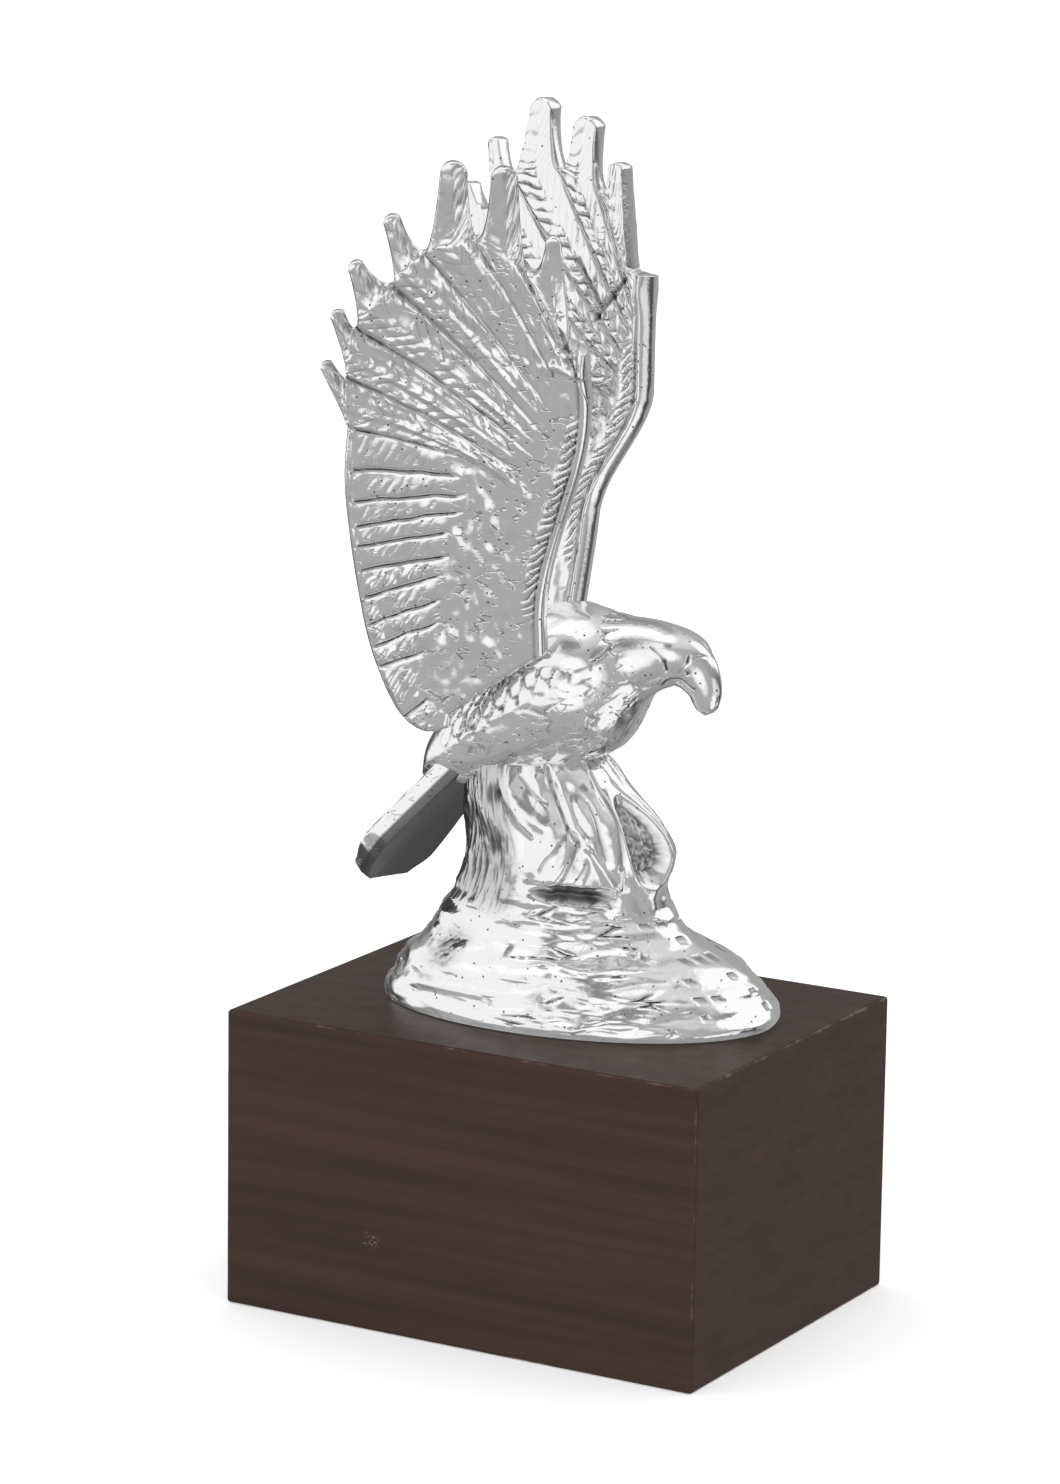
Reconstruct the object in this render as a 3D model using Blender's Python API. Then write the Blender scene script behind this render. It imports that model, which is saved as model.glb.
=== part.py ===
# Eagle statue with raised wings, cast in one piece with its rock, on a wooden plinth.
# Metres, +Z up. Origin at the middle of the plinth's underside. The long side of the
# plinth runs along X, and the bird heads towards +X.

import math

import bmesh
import bpy
from mathutils import Matrix, Vector

# Driving sizes of the plinth, metres
PLINTH_LENGTH = 0.1020
PLINTH_WIDTH = 0.0780
PLINTH_HEIGHT = 0.0585
PLINTH_ROUNDING = 0.0007
SEAT_GAP = 0.0003

# Driving sizes of the cast figure
FIGURE_HEIGHT = 0.1712
FIGURE_TURN = 5.0
WING_THICKNESS = 0.0040
FEATHER_RELIEF = 0.0009
COVERT_RELIEF = 0.0007
ARM_RELIEF = 0.0012
STRATA_RELIEF = 0.0006
TAIL_THICKNESS = 0.0040

# The figure is drawn in shares of its own height: 171.2 shares are the whole height
SHARE = FIGURE_HEIGHT / 171.2
SEAT_LEVEL = PLINTH_HEIGHT + SEAT_GAP

# Counts that set how fine the solids are
FEATHER_COLUMNS = 4
ROWS_TO_NOTCH = [0.0, 0.16, 0.30, 0.42, 0.47, 0.62, 0.80, 1.0]
ROWS_OF_FINGER = [0.0, 0.15, 0.34, 0.56, 0.78, 1.0]
SECONDARIES = 11
BODY_AROUND = 24
BODY_ALONG = 30
ROCK_AROUND = 44

# Wing outline in shares: first figure goes back from the shoulder, second goes up
TRAILING_EDGE = [(27.2, -15.2), (32.0, -15.9), (36.8, -11.4), (40.6, -0.8),
                 (42.6, 9.7), (44.1, 24.1), (44.6, 36.3), (43.6, 47.0)]
LOW_NOTCHES = [(43.6, 47.0), (43.3, 57.1), (41.1, 66.7), (34.1, 74.9), (28.0, 81.2)]
LOW_TIPS = [(47.2, 59.8), (44.7, 69.8), (41.2, 79.3), (34.2, 88.2)]
NEAR_NOTCHES = LOW_NOTCHES + [(18.3, 83.7), (9.2, 78.6), (1.4, 65.6), (-2.2, 64.2)]
NEAR_TIPS = LOW_TIPS + [(21.9, 98.8), (12.4, 98.4), (3.6, 85.8)]
FAR_NOTCHES = LOW_NOTCHES + [(16.9, 82.9), (8.6, 79.5), (1.7, 64.6), (-2.3, 63.4)]
FAR_TIPS = LOW_TIPS + [(22.2, 96.2), (12.1, 93.0), (5.4, 84.6)]

# Each wing: side, root, sweep, lean, turn, notches, tips and leading edge run, then how
# far down it starts and how far its root bends in towards the back
NEAR_WING = dict(side=-1, root=(9.0, -9.0, 69.5), sweep=14.0, lean=13.0, turn=0.0,
                 notches=NEAR_NOTCHES, tips=NEAR_TIPS, lead=(8.0, -2.2, 8.0, 54.0),
                 start=2.0, bend=0.0)
FAR_WING = dict(side=1, root=(7.7, 9.0, 75.7), sweep=12.0, lean=3.3, turn=-2.2,
                notches=FAR_NOTCHES, tips=FAR_TIPS, lead=(9.0, -0.9, 17.0, 42.0),
                start=-8.0, bend=5.0)
ELBOW = 29.0
WRIST = 57.0
CUP_MIDDLE = 22.0
CUP_HALF = 24.0
CUP_DEPTH = 4.5
TIP_CURL_START = 45.0
TIP_CURL_RUN = 55.0
TIP_CURL = 3.0

# The mass of the shoulders between the wings: middle and half sizes, in shares
SHOULDERS = ((2.5, 0.0, 68.0), (13.0, 13.0, 10.3))

# Each long feather: gap on its low side, gap on its high side, breadth at its tip
FINGERS = [(1.0, 4.2, 1.6), (2.2, 3.6, 1.8), (1.6, 3.4, 2.0), (1.0, 2.8, 2.4),
           (1.4, 2.2, 4.6), (2.0, 1.6, 4.6), (2.4, 0.1, 2.4)]

# Body from tail root to beak tip: along, up, half height, half width, in shares
SPINE = [(-28.0, 42.5, 1.0, 4.0), (-24.0, 45.5, 5.5, 8.0), (-17.0, 49.8, 9.0, 11.0),
         (-6.0, 56.5, 12.5, 13.5), (4.0, 62.8, 14.0, 14.0), (11.0, 66.6, 11.2, 11.0),
         (16.0, 68.8, 8.2, 7.8), (20.3, 69.8, 6.4, 6.4), (24.3, 69.2, 5.3, 5.2),
         (27.2, 67.6, 4.0, 3.6), (29.2, 65.3, 2.8, 2.4), (30.4, 62.9, 1.8, 1.6),
         (31.0, 60.8, 0.9, 0.8), (31.2, 59.8, 0.1, 0.1)]

# Rock: up, middle along, middle across, half length, half width, in shares
ROCK = [(0.0, 3.9, -0.2, 39.4, 24.6), (1.6, 4.4, -0.2, 39.9, 25.0),
        (4.2, 4.0, 0.0, 38.5, 24.4), (6.8, 3.8, 0.0, 36.8, 23.5),
        (9.4, 3.3, 0.0, 34.5, 22.4), (12.0, 2.9, 0.0, 31.1, 20.6),
        (15.0, 0.5, 0.0, 26.4, 17.6), (18.0, -0.2, 0.0, 23.8, 16.2),
        (21.0, 0.0, 0.0, 22.0, 15.2), (24.5, 0.0, 0.0, 20.6, 14.5),
        (28.5, 0.4, 0.0, 19.9, 14.2), (33.0, 0.2, 0.0, 19.5, 13.8),
        (38.0, -1.2, 0.0, 18.8, 13.4), (43.0, -3.6, 0.0, 16.3, 11.8),
        (48.0, -5.0, 0.0, 13.4, 10.2), (53.0, -5.0, 0.0, 7.0, 6.0)]
ROCK_TURN = 1.0
FOOT_ROUNDING = 3.0
STRATA_TOP = 27.0
WAVE = 0.5
KNEE_BULGE = 2.6
KNEE_LEVEL = 32.0
KNEE_REACH = 5.5
KNEE_ANGLE = 0.1
KNEE_BREADTH = 0.5

# Tail: root, lie below level, length and half widths, in shares
TAIL_ROOT = (-14.0, 0.0, 54.5)
TAIL_SLOPE = 47.5
TAIL_LENGTH = 44.5
TAIL_HALF_ROOT = 8.0
TAIL_HALF_TIP = 12.5
TAIL_ARCH = 3.4
TAIL_SKEW = 4.2
TAIL_ROUNDING = 0.13
TAIL_QUILLS = 0.3


# A smooth curve through listed points, read at a share of its run
def along(points, share):
    last = len(points) - 1
    place = min(max(share, 0.0), 1.0) * last
    cell = min(int(place), last - 1)
    t = place - cell
    p1 = Vector(points[cell])
    p2 = Vector(points[cell + 1])
    p0 = Vector(points[max(cell - 1, 0)])
    p3 = Vector(points[min(cell + 2, last)])
    a = 2.0 * p1
    b = p2 - p0
    c = 2.0 * p0 - 5.0 * p1 + 4.0 * p2 - p3
    d = 3.0 * p1 - p0 - 3.0 * p2 + p3
    return 0.5 * (a + b * t + c * t * t + d * t * t * t)


# A rise from 0 to 1 between two limits
def ramp(low, high, value):
    t = min(max((value - low) / (high - low), 0.0), 1.0)
    return t * t * (3.0 - 2.0 * t)


# One square net of faces, each corner set by a function of its two shares
def net(bm, across, down, place):
    made = bmesh.ops.create_grid(bm, x_segments=across, y_segments=down, size=0.5)
    for vert in made["verts"]:
        a = round((vert.co.x + 0.5) * across) / across
        b = round((vert.co.y + 0.5) * down) / down
        vert.co = place(a, b)
    return made["verts"]


# An object of the given name holding one mesh
def put(name, bm):
    bmesh.ops.remove_doubles(bm, verts=bm.verts, dist=0.00004)
    bmesh.ops.dissolve_degenerate(bm, dist=0.00002, edges=bm.edges)
    bmesh.ops.recalc_face_normals(bm, faces=bm.faces)
    for face in bm.faces:
        face.smooth = True
    for edge in bm.edges:
        if len(edge.link_faces) == 2 and edge.calc_face_angle() > math.radians(48):
            edge.smooth = False
    mesh = bpy.data.meshes.new(name)
    bm.to_mesh(mesh)
    bm.free()
    thing = bpy.data.objects.new(name, mesh)
    bpy.context.scene.collection.objects.link(thing)
    return thing


# From the figure's shares to the shared frame
def seat(point):
    turned = Matrix.Rotation(math.radians(FIGURE_TURN), 3, "Z") @ Vector(point)
    return turned * SHARE + Vector((0.0, 0.0, SEAT_LEVEL))


# Leading edge of a wing at a height, in shares
def lead_at(wing, up):
    low, high, start, stop = wing["lead"]
    return low + (high - low) * ramp(start, stop, up)


# The lines where two feathers meet, each from the leading edge to its outer end
def feather_lines(wing):
    lines = []
    for k in range(SECONDARIES + 1):
        share = k / SECONDARIES
        up = wing["start"] + (ELBOW - wing["start"]) * share
        outer = along(TRAILING_EDGE, share)
        lines.append((Vector((lead_at(wing, up), up)), outer))
    hand = len(wing["notches"]) - 1
    for k in range(1, hand + 1):
        up = ELBOW + (WRIST - ELBOW) * k / hand
        lines.append((Vector((lead_at(wing, up), up)), Vector(wing["notches"][k])))
    return lines


# Height of the relief across one feather and along it
def relief(across, length):
    ridge = math.sin(math.pi * min(max(across, 0.0), 1.0))
    height = FEATHER_RELIEF * ramp(0.0, 0.14, length) * (ridge - 0.5)
    height += COVERT_RELIEF * (1.0 - ramp(0.42, 0.47, length))
    return height + ARM_RELIEF * (1.0 - ramp(0.0, 0.22, length))


# One wing worked flat in its own plane, thickened, then bent and set at the shoulder
def make_wing(name, wing):
    bm = bmesh.new()
    lines = feather_lines(wing)
    half = WING_THICKNESS / (2.0 * SHARE)
    for k in range(len(lines) - 1):
        base_a, end_a = lines[k]
        base_b, end_b = lines[k + 1]

        def blade(a, b):
            length = ROWS_TO_NOTCH[round(b * (len(ROWS_TO_NOTCH) - 1))]
            left = base_a.lerp(end_a, length)
            right = base_b.lerp(end_b, length)
            flat = left.lerp(right, a)
            return Vector((flat.x, flat.y, half + relief(a, length) / SHARE))

        net(bm, FEATHER_COLUMNS, len(ROWS_TO_NOTCH) - 1, blade)
        if k < SECONDARIES or k >= SECONDARIES + len(wing["tips"]):
            continue
        tip = Vector(wing["tips"][k - SECONDARIES])
        gap_a, gap_b, breadth = FINGERS[k - SECONDARIES]
        over = (end_b - end_a).normalized()
        foot_a = end_a + over * gap_a
        foot_b = end_b - over * gap_b
        way = (tip - foot_a.lerp(foot_b, 0.5)).normalized()
        side = Vector((way.y, -way.x))
        if side.dot(over) < 0.0:
            side = -side
        crown = tip - way * 0.5 * breadth

        def finger(a, b):
            run = ROWS_OF_FINGER[round(b * (len(ROWS_OF_FINGER) - 1))]
            bow = run * run
            shift = (a - 0.5) * (1.0 - bow) - 0.5 * math.cos(math.pi * a) * bow
            top = crown + side * breadth * shift
            top = top + way * 0.5 * breadth * math.sin(math.pi * a) * bow
            narrow = foot_a.lerp(foot_b, a).lerp(top, run)
            flat = end_a.lerp(end_b, a).lerp(narrow, ramp(0.0, 0.15, run))
            return Vector((flat.x, flat.y, half + relief(a, 1.0) / SHARE))

        net(bm, FEATHER_COLUMNS, len(ROWS_OF_FINGER) - 1, finger)
    bmesh.ops.remove_doubles(bm, verts=bm.verts, dist=0.05)
    lower = list(bm.verts)
    made = bmesh.ops.extrude_face_region(bm, geom=list(bm.faces))
    upper = {v for v in made["geom"] if isinstance(v, bmesh.types.BMVert)}
    for vert in bm.verts:
        if vert not in upper:
            vert.co.z = -vert.co.z
    sweep = math.radians(wing["sweep"])
    lean = math.radians(wing["lean"])
    turn = math.radians(wing["turn"])
    side = wing["side"]
    back = Vector((-math.cos(sweep), side * math.sin(sweep), 0.0))
    out = Vector((0.0, side, 0.0))
    rise = Vector((0.0, 0.0, math.cos(lean))) + out * math.sin(lean)
    rise = (rise - back * rise.dot(back)).normalized()
    back, rise = (back * math.cos(turn) + rise * math.sin(turn),
                  rise * math.cos(turn) - back * math.sin(turn))
    face = back.cross(rise)
    if face.dot(out) < 0.0:
        face = -face
    root = Vector(wing["root"])
    for vert in bm.verts:
        u, v, h = vert.co
        cup = CUP_DEPTH * ((u - CUP_MIDDLE) / CUP_HALF) ** 2
        cup += TIP_CURL * (max(v - TIP_CURL_START, 0.0) / TIP_CURL_RUN) ** 2
        cup -= wing["bend"] * (1.0 - ramp(-8.0, CUP_MIDDLE, v))
        vert.co = seat(root + back * u + rise * v + face * (cup + h))
    return put(name, bm)


# The bird's body, neck, head and hooked beak as one round run along its spine
def make_body(name):
    bm = bmesh.new()

    def skin(a, b):
        here = along(SPINE, b)
        ahead = along(SPINE, min(b + 0.01, 1.0)) - along(SPINE, max(b - 0.01, 0.0))
        way = Vector((ahead[0], 0.0, ahead[1])).normalized()
        upward = Vector((-way.z, 0.0, way.x))
        angle = 2.0 * math.pi * a
        close = 0.0 if b <= 0.0 or b >= 1.0 else 1.0
        tall = upward * (math.cos(angle) * here[2] * close)
        wide = Vector((0.0, math.sin(angle) * here[3] * close, 0.0))
        return seat(Vector((here[0], 0.0, here[1])) + tall + wide)

    net(bm, BODY_AROUND, BODY_ALONG, skin)
    return put(name, bm)


# The shoulders as one rounded mass
def make_shoulders(name):
    bm = bmesh.new()
    bmesh.ops.create_icosphere(bm, subdivisions=3, radius=1.0)
    middle, halves = SHOULDERS
    for vert in bm.verts:
        swell = Vector([vert.co[i] * halves[i] for i in range(3)])
        vert.co = seat(Vector(middle) + swell)
    return put(name, bm)


# The rock the bird stands on, wide at its foot and ridged in level layers
def make_rock(name):
    bm = bmesh.new()
    rows = len(ROCK) + 1

    def skin(a, b):
        row = round(b * rows) - 1
        ring = ROCK[min(max(row, 0), len(ROCK) - 1)]
        angle = 2.0 * math.pi * a
        level = ring[0]
        close = 0.0 if row < 0 or row >= len(ROCK) else 1.0
        ripple = STRATA_RELIEF / SHARE * (1.0 if row % 2 else -1.0)
        ripple *= ramp(0.0, FOOT_ROUNDING, level) * (1.0 - ramp(STRATA_TOP - 3.0, STRATA_TOP, level))
        wave = WAVE * (math.sin(3.0 * angle + 1.9) + math.sin(5.0 * angle + level * 0.12))
        wave *= ramp(0.0, 4.0 * FOOT_ROUNDING, level)
        bend = min(abs(angle - KNEE_ANGLE), abs(angle - KNEE_ANGLE - 2.0 * math.pi))
        high = (level - KNEE_LEVEL) / KNEE_REACH
        knee = KNEE_BULGE * math.exp(-(bend / KNEE_BREADTH) ** 2 - high ** 2)
        reach = (ripple + wave + knee) * close
        x = math.cos(angle) * (ring[3] * close + reach)
        y = math.sin(angle) * (ring[4] * close + reach)
        spun = Matrix.Rotation(math.radians(ROCK_TURN), 3, "Z") @ Vector((x, y, 0.0))
        return seat((ring[1] + spun.x, ring[2] + spun.y, level))

    net(bm, ROCK_AROUND, rows, skin)
    return put(name, bm)


# The tail, a thick fan sloping down behind the rock with its edges drooping
def make_tail(name):
    bm = bmesh.new()
    slope = math.radians(TAIL_SLOPE)
    way = Vector((-math.cos(slope), 0.0, -math.sin(slope)))
    top = Vector((-math.sin(slope), 0.0, math.cos(slope)))
    half = TAIL_THICKNESS / (2.0 * SHARE)

    def fan(a, b):
        across = 2.0 * a - 1.0
        width = TAIL_HALF_ROOT + (TAIL_HALF_TIP - TAIL_HALF_ROOT) * ramp(0.0, 1.0, b)
        width *= 1.0 - TAIL_ROUNDING * ramp(0.85, 1.0, b)
        length = TAIL_LENGTH * (1.0 - TAIL_ROUNDING * across * across) + TAIL_SKEW * across
        quill = TAIL_QUILLS * math.cos(4.0 * math.pi * a)
        return Vector((length * b, across * width, half + quill))

    net(bm, 8, 8, fan)
    made = bmesh.ops.extrude_face_region(bm, geom=list(bm.faces))
    upper = {v for v in made["geom"] if isinstance(v, bmesh.types.BMVert)}
    for vert in bm.verts:
        if vert not in upper:
            vert.co.z = -vert.co.z
    for vert in bm.verts:
        length, across, h = vert.co
        droop = TAIL_ARCH * (across / TAIL_HALF_TIP) ** 2
        spot = Vector(TAIL_ROOT) + way * length + top * (h - droop)
        vert.co = seat(spot + Vector((0.0, across, 0.0)))
    return put(name, bm)


# The wooden block with its edges lightly rounded
def make_plinth(name):
    bm = bmesh.new()
    bmesh.ops.create_cube(bm, size=1.0)
    for vert in bm.verts:
        vert.co.x *= PLINTH_LENGTH
        vert.co.y *= PLINTH_WIDTH
        vert.co.z = (vert.co.z + 0.5) * PLINTH_HEIGHT
    bmesh.ops.bevel(bm, geom=list(bm.edges), offset=PLINTH_ROUNDING, affect="EDGES",
                    segments=2, profile=0.5, material=-1)
    bmesh.ops.recalc_face_normals(bm, faces=bm.faces)
    mesh = bpy.data.meshes.new(name)
    bm.to_mesh(mesh)
    bm.free()
    thing = bpy.data.objects.new(name, mesh)
    bpy.context.scene.collection.objects.link(thing)
    return thing


# A plain surface of its own for each piece
def paint(thing, name, colour, metallic, roughness):
    material = bpy.data.materials.new(name)
    material.use_nodes = True
    shader = material.node_tree.nodes["Principled BSDF"]
    shader.inputs["Base Color"].default_value = colour
    shader.inputs["Metallic"].default_value = metallic
    shader.inputs["Roughness"].default_value = roughness
    thing.data.materials.append(material)


# One part welded onto the casting, kept hidden itself
def weld(whole, piece):
    piece.hide_render = True
    piece.display_type = "WIRE"
    joint = whole.modifiers.new("weld " + piece.name, "BOOLEAN")
    joint.operation = "UNION"
    joint.solver = "EXACT"
    joint.object = piece


for old in list(bpy.data.objects):
    bpy.data.objects.remove(old, do_unlink=True)

eagle = make_body("eagle")
near_wing = make_wing("near_wing", NEAR_WING)
far_wing = make_wing("far_wing", FAR_WING)
rock = make_rock("rock")
tail = make_tail("tail")
shoulders = make_shoulders("shoulders")
for piece in (rock, tail, shoulders, near_wing, far_wing):
    weld(eagle, piece)
plinth = make_plinth("plinth")
paint(eagle, "polished cast metal", (0.80, 0.80, 0.80, 1.0), 1.0, 0.12)
paint(plinth, "dark stained wood", (0.045, 0.026, 0.020, 1.0), 0.0, 0.45)
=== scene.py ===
# %% [markdown]
# An eagle statue: one metal casting, polished bright, on a block of dark stained wood.
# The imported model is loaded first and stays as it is. The wooden block keeps its solid,
# and the casting is dressed with finer meshes that follow the same sizes.

# %% Load the fixed frame
from math import cos, exp, floor, hypot, pi, radians, remainder, sin, sqrt

import bmesh
import bpy
from mathutils import Matrix, Vector, kdtree, noise


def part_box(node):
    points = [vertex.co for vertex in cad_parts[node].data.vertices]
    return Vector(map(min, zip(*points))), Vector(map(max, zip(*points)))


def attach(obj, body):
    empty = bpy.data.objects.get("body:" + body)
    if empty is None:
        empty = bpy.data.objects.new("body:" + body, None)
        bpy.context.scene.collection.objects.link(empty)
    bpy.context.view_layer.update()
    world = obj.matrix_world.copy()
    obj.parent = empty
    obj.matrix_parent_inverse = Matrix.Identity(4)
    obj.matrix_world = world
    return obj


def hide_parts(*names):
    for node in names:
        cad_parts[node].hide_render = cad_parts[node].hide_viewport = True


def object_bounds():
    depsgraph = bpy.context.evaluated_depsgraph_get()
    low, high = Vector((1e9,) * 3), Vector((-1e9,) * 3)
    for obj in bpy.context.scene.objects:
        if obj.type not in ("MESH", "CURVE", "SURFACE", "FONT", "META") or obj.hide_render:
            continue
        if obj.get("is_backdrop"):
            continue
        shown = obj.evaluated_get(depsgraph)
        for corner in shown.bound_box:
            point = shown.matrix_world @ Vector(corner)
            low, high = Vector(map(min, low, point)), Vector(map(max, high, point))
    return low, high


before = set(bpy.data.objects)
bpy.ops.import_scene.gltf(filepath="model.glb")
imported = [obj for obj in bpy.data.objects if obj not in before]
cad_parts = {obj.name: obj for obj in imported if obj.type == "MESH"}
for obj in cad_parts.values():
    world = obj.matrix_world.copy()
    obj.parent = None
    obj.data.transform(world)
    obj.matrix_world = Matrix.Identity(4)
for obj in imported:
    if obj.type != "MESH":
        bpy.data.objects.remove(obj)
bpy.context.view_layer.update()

# %% [markdown]
# The figure is drawn in shares of its own height, and one share is one millimetre at this
# size. Its foot stands on the block with a hair of room, and it is turned a little.

# %% Sizes that all the cast pieces share
FIGURE_HEIGHT = 0.1712
SHARE = FIGURE_HEIGHT / 171.2
FIGURE_TURN = radians(5.0)
SEAT_GAP = 0.0003
SEAT_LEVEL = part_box("plinth")[1].z + SEAT_GAP
TURN_MATRIX = Matrix.Rotation(FIGURE_TURN, 3, "Z")


def seat(point):
    return TURN_MATRIX @ Vector(point) * SHARE + Vector((0.0, 0.0, SEAT_LEVEL))


print("the casting stands at", round(SEAT_LEVEL * 1000, 1), "mm")


# %% Soft steps, soft ridges and smooth curves
def ramp(low, high, value):
    t = min(max((value - low) / (high - low), 0.0), 1.0)
    return t * t * (3.0 - 2.0 * t)


def bump(distance, width):
    return exp(-(distance / width) ** 2)


def along(points, share):
    last = len(points) - 1
    place = min(max(share, 0.0), 1.0) * last
    cell = min(int(place), last - 1)
    t = place - cell
    p1 = Vector(points[cell])
    p2 = Vector(points[cell + 1])
    p0 = Vector(points[max(cell - 1, 0)])
    p3 = Vector(points[min(cell + 2, last)])
    a = 2.0 * p1
    b = p2 - p0
    c = 2.0 * p0 - 5.0 * p1 + 4.0 * p2 - p3
    d = 3.0 * p1 - p0 - 3.0 * p2 + p3
    return 0.5 * (a + b * t + c * t * t + d * t * t * t)


print("middle of a soft step:", ramp(0.0, 1.0, 0.5))

# %% [markdown]
# A cast figure has one skin that swells and sinks. It could be sculpted by hand, but then no
# size has a name. Here each piece starts as a square net from the grid operator, and a rule
# puts every corner in its place. The rule also says how much soot and painted shade, barbs,
# cracks and wear a corner has. These marks are kept as attributes, and the metal's finish
# reads them.

# %% A net of faces, and an object made from it
MARKS = ("grime_and_shade", "barb", "carved", "worn")


def net(bm, across, down, rule):
    layers = [bm.verts.layers.float.get(word) or bm.verts.layers.float.new(word) for word in MARKS]
    made = bmesh.ops.create_grid(bm, x_segments=across, y_segments=down, size=0.5)
    for vert in made["verts"]:
        a = round((vert.co.x + 0.5) * across) / across
        b = round((vert.co.y + 0.5) * down) / down
        vert.co, *marks = rule(a, b)
        for layer, mark in zip(layers, marks):
            vert[layer] = mark


def finished(name, bm):
    bmesh.ops.remove_doubles(bm, verts=bm.verts, dist=0.00001)
    bmesh.ops.dissolve_degenerate(bm, dist=0.000005, edges=bm.edges)
    bmesh.ops.recalc_face_normals(bm, faces=bm.faces)
    mesh = bpy.data.meshes.new(name)
    bm.to_mesh(mesh)
    bm.free()
    mesh.shade_smooth()
    mesh.set_sharp_from_angle(angle=radians(70.0))
    thing = bpy.data.objects.new(name, mesh)
    bpy.context.scene.collection.objects.link(thing)
    triangles = sum(len(face.vertices) - 2 for face in mesh.polygons)
    print(name, triangles, "triangles")
    return thing


def under_face(bm):
    made = bmesh.ops.extrude_face_region(bm, geom=list(bm.faces))
    upper = {v for v in made["geom"] if isinstance(v, bmesh.types.BMVert)}
    return [vert for vert in bm.verts if vert not in upper]


# %% Grain and cracks, as heights that a rule can add
def grain(u, v, w=0.0, size=1.0):
    return noise.noise(Vector((u / size, v / size, w / size)))


def crack(u, v, w=0.0, size=1.0):
    near, after = noise.voronoi(Vector((u / size, v / size, w / size)))[0][:2]
    return (after - near) * size


print("grain at one place:", round(grain(0.3, 0.7), 3))


# %% Lines carved on a surface, and how far a place is from them
LINE_STEPS = 40


def carved_line(places, surface):
    corners = [(place[0], place[1], 0.0) for place in places]
    count = LINE_STEPS * len(corners)
    tree = kdtree.KDTree(count + 1)
    for i in range(count + 1):
        across, up = along(corners, i / count)[:2]
        tree.insert(surface(across, up), i)
    tree.balance()
    return tree


def distance_to(tree, spot):
    return tree.find(spot)[2]


print(LINE_STEPS, "steps for each corner of a line")

# %% [markdown]
# A raised wing is a thick cast fan. Eleven short feathers lie along the arm like roof slates,
# seven long ones spread from the wrist, and a stub of an eighth lies at the leading edge. It
# could be one sheet with lines cut in it, but then no feather could have its own length or
# end. So every feather is a net from the leading edge out to its end, and a long one goes on
# as a finger. The nets are welded, mirrored for the other face, and then the fan is cupped.

# %% Wing outline and where each wing stands
TRAILING_EDGE = [(27.2, -15.2), (32.0, -15.9), (36.8, -11.4), (40.6, -0.8),
                 (42.6, 9.7), (44.1, 24.1), (44.6, 36.3), (43.6, 47.0)]
LOW_NOTCHES = [(43.6, 47.0), (43.3, 57.1), (41.1, 66.7), (34.1, 74.9), (28.0, 81.2)]
LOW_TIPS = [(47.2, 59.8), (44.7, 69.8), (41.2, 79.3), (34.2, 88.2)]
NEAR_NOTCHES = LOW_NOTCHES + [(18.3, 83.7), (9.2, 78.6), (1.4, 65.6), (-2.2, 64.2)]
NEAR_TIPS = LOW_TIPS + [(21.9, 98.8), (12.4, 98.4), (3.6, 85.8)]
FAR_NOTCHES = LOW_NOTCHES + [(16.9, 82.9), (8.6, 79.5), (1.7, 64.6), (-2.3, 63.4)]
FAR_TIPS = LOW_TIPS + [(22.2, 96.2), (12.1, 93.0), (5.4, 84.6)]
NEAR_WING = dict(side=-1, root=(9.0, -9.0, 69.5), sweep=14.0, lean=13.0, turn=0.0,
                 notches=NEAR_NOTCHES, tips=NEAR_TIPS, lead=(7.6, -2.6, 8.0, 54.0),
                 start=2.0, bend=0.0, rod=1.8, edge=1.1, thinning=0.35, near=1.0)
FAR_WING = dict(side=1, root=(7.7, 9.0, 75.7), sweep=12.0, lean=3.3, turn=-2.2,
                notches=FAR_NOTCHES, tips=FAR_TIPS, lead=(7.6, -2.3, 17.0, 42.0),
                start=-8.0, bend=5.0, rod=1.4, edge=0.6, thinning=0.1, near=0.0)
FINGERS = [(1.0, 3.2, 2.2), (1.6, 3.0, 2.5), (1.6, 3.2, 2.8), (1.2, 3.0, 3.2),
           (1.4, 2.0, 5.0), (1.9, 1.5, 5.0), (4.5, 0.1, 3.0)]
SECONDARIES = 11
ELBOW = 29.0
WRIST = 57.0
CUP_MIDDLE = 22.0
CUP_HALF = 24.0
CUP_DEPTH = 4.5
TIP_CURL_START = 45.0
TIP_CURL_RUN = 55.0
TIP_CURL = 3.0
print(SECONDARIES, "short feathers and", len(NEAR_TIPS), "long ones a wing")


# %% Lines between feathers: at the leading edge, at a groove's start and at its end
GROOVE_STARTS = [(26.6, -12.5), (30.7, -8.3), (30.8, 1.2), (27.7, 7.3), (27.3, 11.8), (26.8, 16.7),
                 (25.2, 20.8), (25.1, 25.5), (22.2, 29.7), (21.8, 33.2), (22.8, 36.8), (23.3, 40.7)]
GROOVE_SHARES = [0.0, 0.257, 0.41, 0.469, 0.533, 0.6, 0.654, 0.7, 0.744, 0.803, 0.886, 1.0]


def lead_at(wing, up):
    low, high, start, stop = wing["lead"]
    return low + (high - low) * ramp(start, stop, up)


def feather_lines(wing):
    lines = []
    for k in range(SECONDARIES + 1):
        up = wing["start"] + (ELBOW - wing["start"]) * k / SECONDARIES
        lead = Vector((lead_at(wing, up), up))
        lines.append((lead, Vector(GROOVE_STARTS[k]), along(TRAILING_EDGE, GROOVE_SHARES[k])))
    hand = len(wing["notches"]) - 1
    for k in range(1, hand + 1):
        up = ELBOW + (WRIST - ELBOW) * k / hand
        lead = Vector((lead_at(wing, up), up))
        notch = Vector(wing["notches"][k])
        lines.append((lead, lead.lerp(notch, 0.5), notch))
    return lines


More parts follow.
